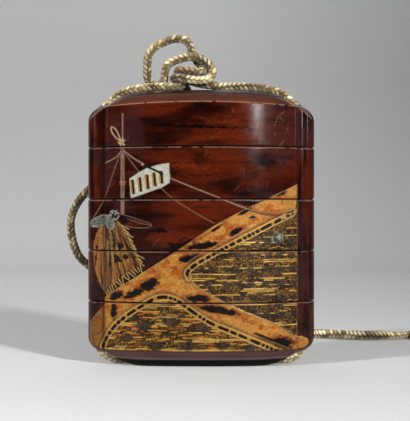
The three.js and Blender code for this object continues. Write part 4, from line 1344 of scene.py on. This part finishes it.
# Painted light: the plain back is painted brighter to stand in for light falling on it.
BACK_PAINTED_LIGHT = 0.5  # how much brighter the plain back's lacquer is than the front's ground


def dressed(piece):
    """Paints a case from where its points are: the picture on the front, lacquer elsewhere, dark inside."""
    mesh = piece.data
    co = np.zeros(len(mesh.vertices) * 3)
    mesh.vertices.foreach_get("co", co)
    x, y, z = co.reshape(-1, 3).T / MM
    depth = half_depth(x)
    share = np.clip(y / np.maximum(depth, 1e-6), -1, 1)
    base = z < base_height(x, share) + 0.15
    outer = (np.abs(y) > depth - 0.4) | (z > crown_height(x, share) - 0.15) | base
    front = outer & (y < 0.02)
    plain = outer & (y < 0) & (np.abs(y) < depth - 0.5)
    coat, flat = Coat(x, z), Coat(x, z)
    lay_lacquer(coat, back=True)
    lay_lacquer(flat)
    # Painted light: the back's lacquer is brightened.
    coat.colour *= (1 + BACK_PAINTED_LIGHT * ramp(y, 0, 7))[:, None]
    seen = picture(x[front], z[front])
    coat.colour[front], coat.finish[front] = seen.colour, seen.finish
    coat.colour[plain], coat.finish[plain] = flat.colour[plain], flat.finish[plain]
    lay_base(coat, y, base)
    lay_crown(coat, y)
    coat.lay(~outer * 1.0, tint(34, 20, 16), rough=0.38, metal=0.0, flecks=0.6)
    lay_seams(coat, y, outer)
    # A pale pink line along the crown's edge: partly worn edge and partly painted highlight.
    rim = ramp(np.abs(z - crown_edge(x) - 0.02), 0.2, 0.06) * (np.abs(y) > depth - 0.4)
    nick = ramp(noise(133, x / 1.1, z * 0), 0.10, 0.3)
    coat.lay(0.85 * rim * nick, tint(226, 162, 128), rough=0.36)
    paint(mesh, "paint", coat.colour)
    paint(mesh, "finish", coat.finish)


def lay_base(coat, y, base):
    """The underside: lacquer greyed as a painted reflection of the floor, near black as painted shadow where
    the case stands, with a painted highlight line round that.
    """
    z = coat.z
    cloud = (0.75 + 0.5 * clouds(130, coat.x / 9, y / 2.5))[:, None]
    # Painted reflection of the floor greys the underside.
    coat.lay(base * 1.0, tint(116, 86, 82) * cloud, rough=0.30, metal=0.0, flecks=0.0)
    # Painted shadow: near black where the case stands.
    coat.lay(base * ramp(z, 2.3, 1.8), tint(10, 8, 8) * cloud, rough=0.8)
    # Painted highlight: a pale line round the dark foot.
    coat.lay(base * ramp(np.abs(z - 2.35), 0.3, 0.1) * (y < 0), tint(156, 136, 132), rough=0.3)


def lay_crown(coat, y):
    """The lid's top: a lighter band low on its curve, then brown lacquer, then painted shade towards the
    ridge and near black painted shadow under the cord.
    """
    edge = crown_edge(coat.x)
    crown = (coat.z > edge + 0.1) * 1.0
    rise = (coat.z - edge) / np.maximum(crown_ridge(coat.x) - edge, 0.1)
    grain = (0.7 + 0.6 * clouds(132, coat.x / 12, y / 2.2))[:, None]
    coat.lay(crown, tint(92, 38, 24) * grain, rough=0.3)
    coat.lay(crown * ramp(rise, 0.62, 0.45), tint(134, 80, 60) * grain, rough=0.22)
    coat.lay(crown * ramp(np.abs(rise - 0.56), 0.08, 0.02) * 0.6, tint(150, 118, 106), rough=0.22)
    # Painted shade towards the ridge, under the cord.
    coat.lay(crown * ramp(rise, 0.55, 0.8) * 0.6, tint(34, 16, 12), rough=0.4)
    # Painted shadow: near black straight under the cord.
    coat.lay(crown * ramp(np.abs(y), 3.4, 2.4), tint(14, 7, 5), rough=0.8)


def lay_seams(coat, y, outer):
    """A pale line under each seam, partly rubbed edge and partly painted highlight, then painted shade in the
    seam itself.
    """
    x, z = coat.x, coat.z
    for seam in SEAM_HEIGHTS:
        nicks = ramp(noise(131, x / 1.5, y / 1.5, z * 0 + seam), 0.1, 0.5)
        # Partly rubbed edge and partly painted highlight on the lower case's rounded top edge.
        rub = ramp(np.abs(z - (seam - 0.15 - 0.12)), 0.26, 0.08) * outer * nicks
        coat.lay(0.6 * rub, tint(214, 160, 138), rough=0.3)
    for seam in SEAM_HEIGHTS:
        # Painted shade: the seam's gap is near black.
        coat.lay((np.abs(z - seam) < 0.16) * 1.0, tint(12, 7, 6), rough=0.5)


def open_riser(floor, high):
    """The upright ring that the next case sits over."""
    return carved(prism("riser", RISER_INSET, floor, high + RISER_HEIGHT),
                  ("DIFFERENCE", prism("bore", CAVITY_INSET, floor - 1, high + RISER_HEIGHT + 1)))


def socket(low):
    """The step inside a case's lower end that takes the riser below it."""
    return "DIFFERENCE", prism("socket", SOCKET_INSET, low - 1, low + SOCKET_HEIGHT)


def cavity(floor, high):
    return "DIFFERENCE", prism("cavity", CAVITY_INSET, floor, high + 1)


def lid_hollow(low):
    """The domed room under the crown."""
    plan = inner_plan(CAVITY_INSET)
    rings = [np.column_stack([plan, np.full(len(plan), low - 1)])]
    for scale in (1, 0.85, 0.6, 0.3):
        ring = plan * scale
        share = ring[:, 1] / half_depth(ring[:, 0])
        rings.append(np.column_stack([ring, crown_height(ring[:, 0], share) - CROWN_WALL]))
    return "DIFFERENCE", ring_block("hollow", rings)


def build_cases():
    material = lacquer_material()
    channel = channel_block()
    half_seam = SEAM_GAP / 2
    face_x = spaced(-TOUCH_X, TOUCH_X, FACE_STEP)
    bottom, low_seam, high_seam, lid_seam = SEAM_HEIGHTS
    low = lid_seam + half_seam
    skins = {"lid": ended_skin(low, True, spaced(-TOUCH_X, TOUCH_X, *LID_STEPS))}
    steps = {"lid": [socket(low), lid_hollow(low)]}
    for name, seam, top in (("upper_case", high_seam, lid_seam), ("middle_case", low_seam, high_seam),
                            ("lower_case", bottom, low_seam)):
        low, high = seam + half_seam, top - half_seam
        floor = low + SOCKET_HEIGHT + FLOOR_THICKNESS
        skins[name] = case_skin(low, high, face_x)
        riser = open_riser(floor, high)
        steps[name] = [("UNION", seal(high)), socket(low), cavity(floor, high), ("UNION", riser)]
    high = bottom - half_seam
    riser = open_riser(BOTTOM_FLOOR_TOP, high)
    skins["bottom_case"] = ended_skin(high, False, face_x)
    steps["bottom_case"] = [("UNION", seal(high)), cavity(BOTTOM_FLOOR_TOP, high), ("UNION", riser)]
    for name, (points, faces) in skins.items():
        piece = make(name + "_lacquered", points, faces, material, smooth=False)
        outwards(piece.data)
        carved(piece, *steps[name], ("DIFFERENCE", channel))
        piece.data.shade_smooth()
        piece.data.set_sharp_from_angle(angle=math.radians(38))
        dressed(piece)
        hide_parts(name)
        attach(piece, "root")
    bpy.data.objects.remove(channel)


def outwards(mesh):
    """Turns every face of a closed skin outwards."""
    skin = bmesh.new()
    skin.from_mesh(mesh)
    bmesh.ops.recalc_face_normals(skin, faces=skin.faces)
    skin.to_mesh(mesh)
    skin.free()


# ---- Stage, light and camera -------------------------------------------

# The sweep and the camera, in metres.
SWEEP_NEAR, SWEEP_TURN, SWEEP_RADIUS, SWEEP_TOP, SWEEP_HALF_WIDTH = -2.2, 0.5, 0.4, 2.2, 2.4
FLOOR_DROP = 0.02  # millimetres from the object's lowest point down to the paper
LAMP_DISTANCE = 0.75
LENS, FILM_WIDTH = 113.0, 36  # in millimetres
CAMERA_X, CAMERA_DISTANCE, CAMERA_HEIGHT = 0.001, 0.330, 0.0406  # the distance is to the case's front


def build_stage():
    """A pale paper sweep: flat under the object, curving up behind it."""
    bend_up = np.linspace(0.1, math.pi / 2, 16)
    profile = [(SWEEP_NEAR, 0)] + [(y, 0) for y in np.linspace(-1.2, SWEEP_TURN, 12)]
    profile += [(SWEEP_TURN + SWEEP_RADIUS * math.sin(a), SWEEP_RADIUS - SWEEP_RADIUS * math.cos(a))
                for a in bend_up]
    profile += [(SWEEP_TURN + SWEEP_RADIUS, z) for z in (1.0, SWEEP_TOP)]
    xs = np.linspace(-SWEEP_HALF_WIDTH, SWEEP_HALF_WIDTH, 13)
    points = [[x / MM, y / MM, z / MM - FLOOR_DROP] for y, z in profile for x in xs]
    sweep = make("sweep", points, grid_faces(len(profile), len(xs), closed=False), paper_material())


def paper_material():
    """White paper with painted shade: greyer towards the right and, a little, as it rises."""
    n = Nodes("paper_sweep")
    grain = n.noise(900, 2.0)
    colour = n.mix(n.between(grain, 0.3, 0.7), (0.76, 0.76, 0.755, 1), (0.80, 0.80, 0.79, 1))
    place = n.add("ShaderNodeSeparateXYZ", {"Vector": n.add("ShaderNodeTexCoord").outputs["Object"]}).outputs
    # Painted shade: the paper greys towards the right.
    colour = n.mix(n.between(place["X"], 0.0, 0.25, 0.0, 1.0), colour, (0.46, 0.46, 0.475, 1))
    # Painted shade: the paper darkens a little as it rises.
    colour = n.mix(n.between(place["Z"], 0.0, 0.10, 0.0, 0.08), colour, (0.1, 0.1, 0.1, 1))
    return n.finish(Base_Color=colour, Roughness=0.85, Specular_IOR_Level=0.2)


def lamp(name, azimuth, elevation, distance, size, power, aim=(0, 0, 0.035), face=None):
    """A soft box in metres and watts. azimuth is from the front (-Y) towards +X, and angles are degrees."""
    a, e = math.radians(azimuth), math.radians(elevation)
    light = bpy.data.lights.new(name, "AREA")
    light.shape = "RECTANGLE"
    light.size, light.size_y = size
    light.energy = power
    box = bpy.data.objects.new(name, light)
    way = Vector((math.sin(a) * math.cos(e), -math.cos(a) * math.cos(e), math.sin(e)))
    box.location = Vector(aim) + distance * way
    box.rotation_euler = (Vector(face or aim) - box.location).to_track_quat("-Z", "Y").to_euler()
    box.visible_camera = False
    scene.collection.objects.link(box)
    return box


def build_light():
    """Two boxes that light the front, three strips that only shine in the lacquer, and light on the sweep."""
    for name, azimuth, elevation, power in (("right_box", 31, 16, 7.6), ("left_box", -52, 17, 5.6)):
        lamp(name, azimuth, elevation, LAMP_DISTANCE, (0.07, 0.16), power).visible_glossy = False
    for name, azimuth, power in (("right_glint", 31, 2.4), ("right_strip", 74, 1.6),
                                 ("left_strip", -74, 0.8)):
        lamp(name, azimuth, 14, LAMP_DISTANCE, (0.06, 0.2), power).visible_diffuse = False
    lamp("top_box", 0, 80, 1.1, (0.9, 0.9), 0.3)
    lamp("sweep_box", 180, 38, 0.57, (3.0, 0.1), 1.9, aim=(0, 0.04, 0), face=(0, 0.28, 0))
    world = bpy.data.worlds.new("studio")
    world.use_nodes = True
    sky = world.node_tree.nodes["Background"].inputs
    sky["Color"].default_value = (0.9, 0.93, 1.0, 1)
    sky["Strength"].default_value = 0.05
    scene.world = world
    scene.view_settings.view_transform = "Standard"


def build_camera():
    """Level with the middle of the case and a few case-widths away, as a product picture is taken."""
    case_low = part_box("bottom_case")[0]
    data = bpy.data.cameras.new("camera")
    data.sensor_fit = "HORIZONTAL"
    data.sensor_width = FILM_WIDTH
    data.lens = LENS
    data.clip_start = 0.01
    camera = bpy.data.objects.new("camera", data)
    camera.location = (CAMERA_X, case_low.y - CAMERA_DISTANCE, CAMERA_HEIGHT)
    camera.rotation_euler = (math.pi / 2, 0, 0)
    scene.collection.objects.link(camera)
    scene.camera = camera


build_camera()
build_cord()
build_cases()
build_stage()
build_light()
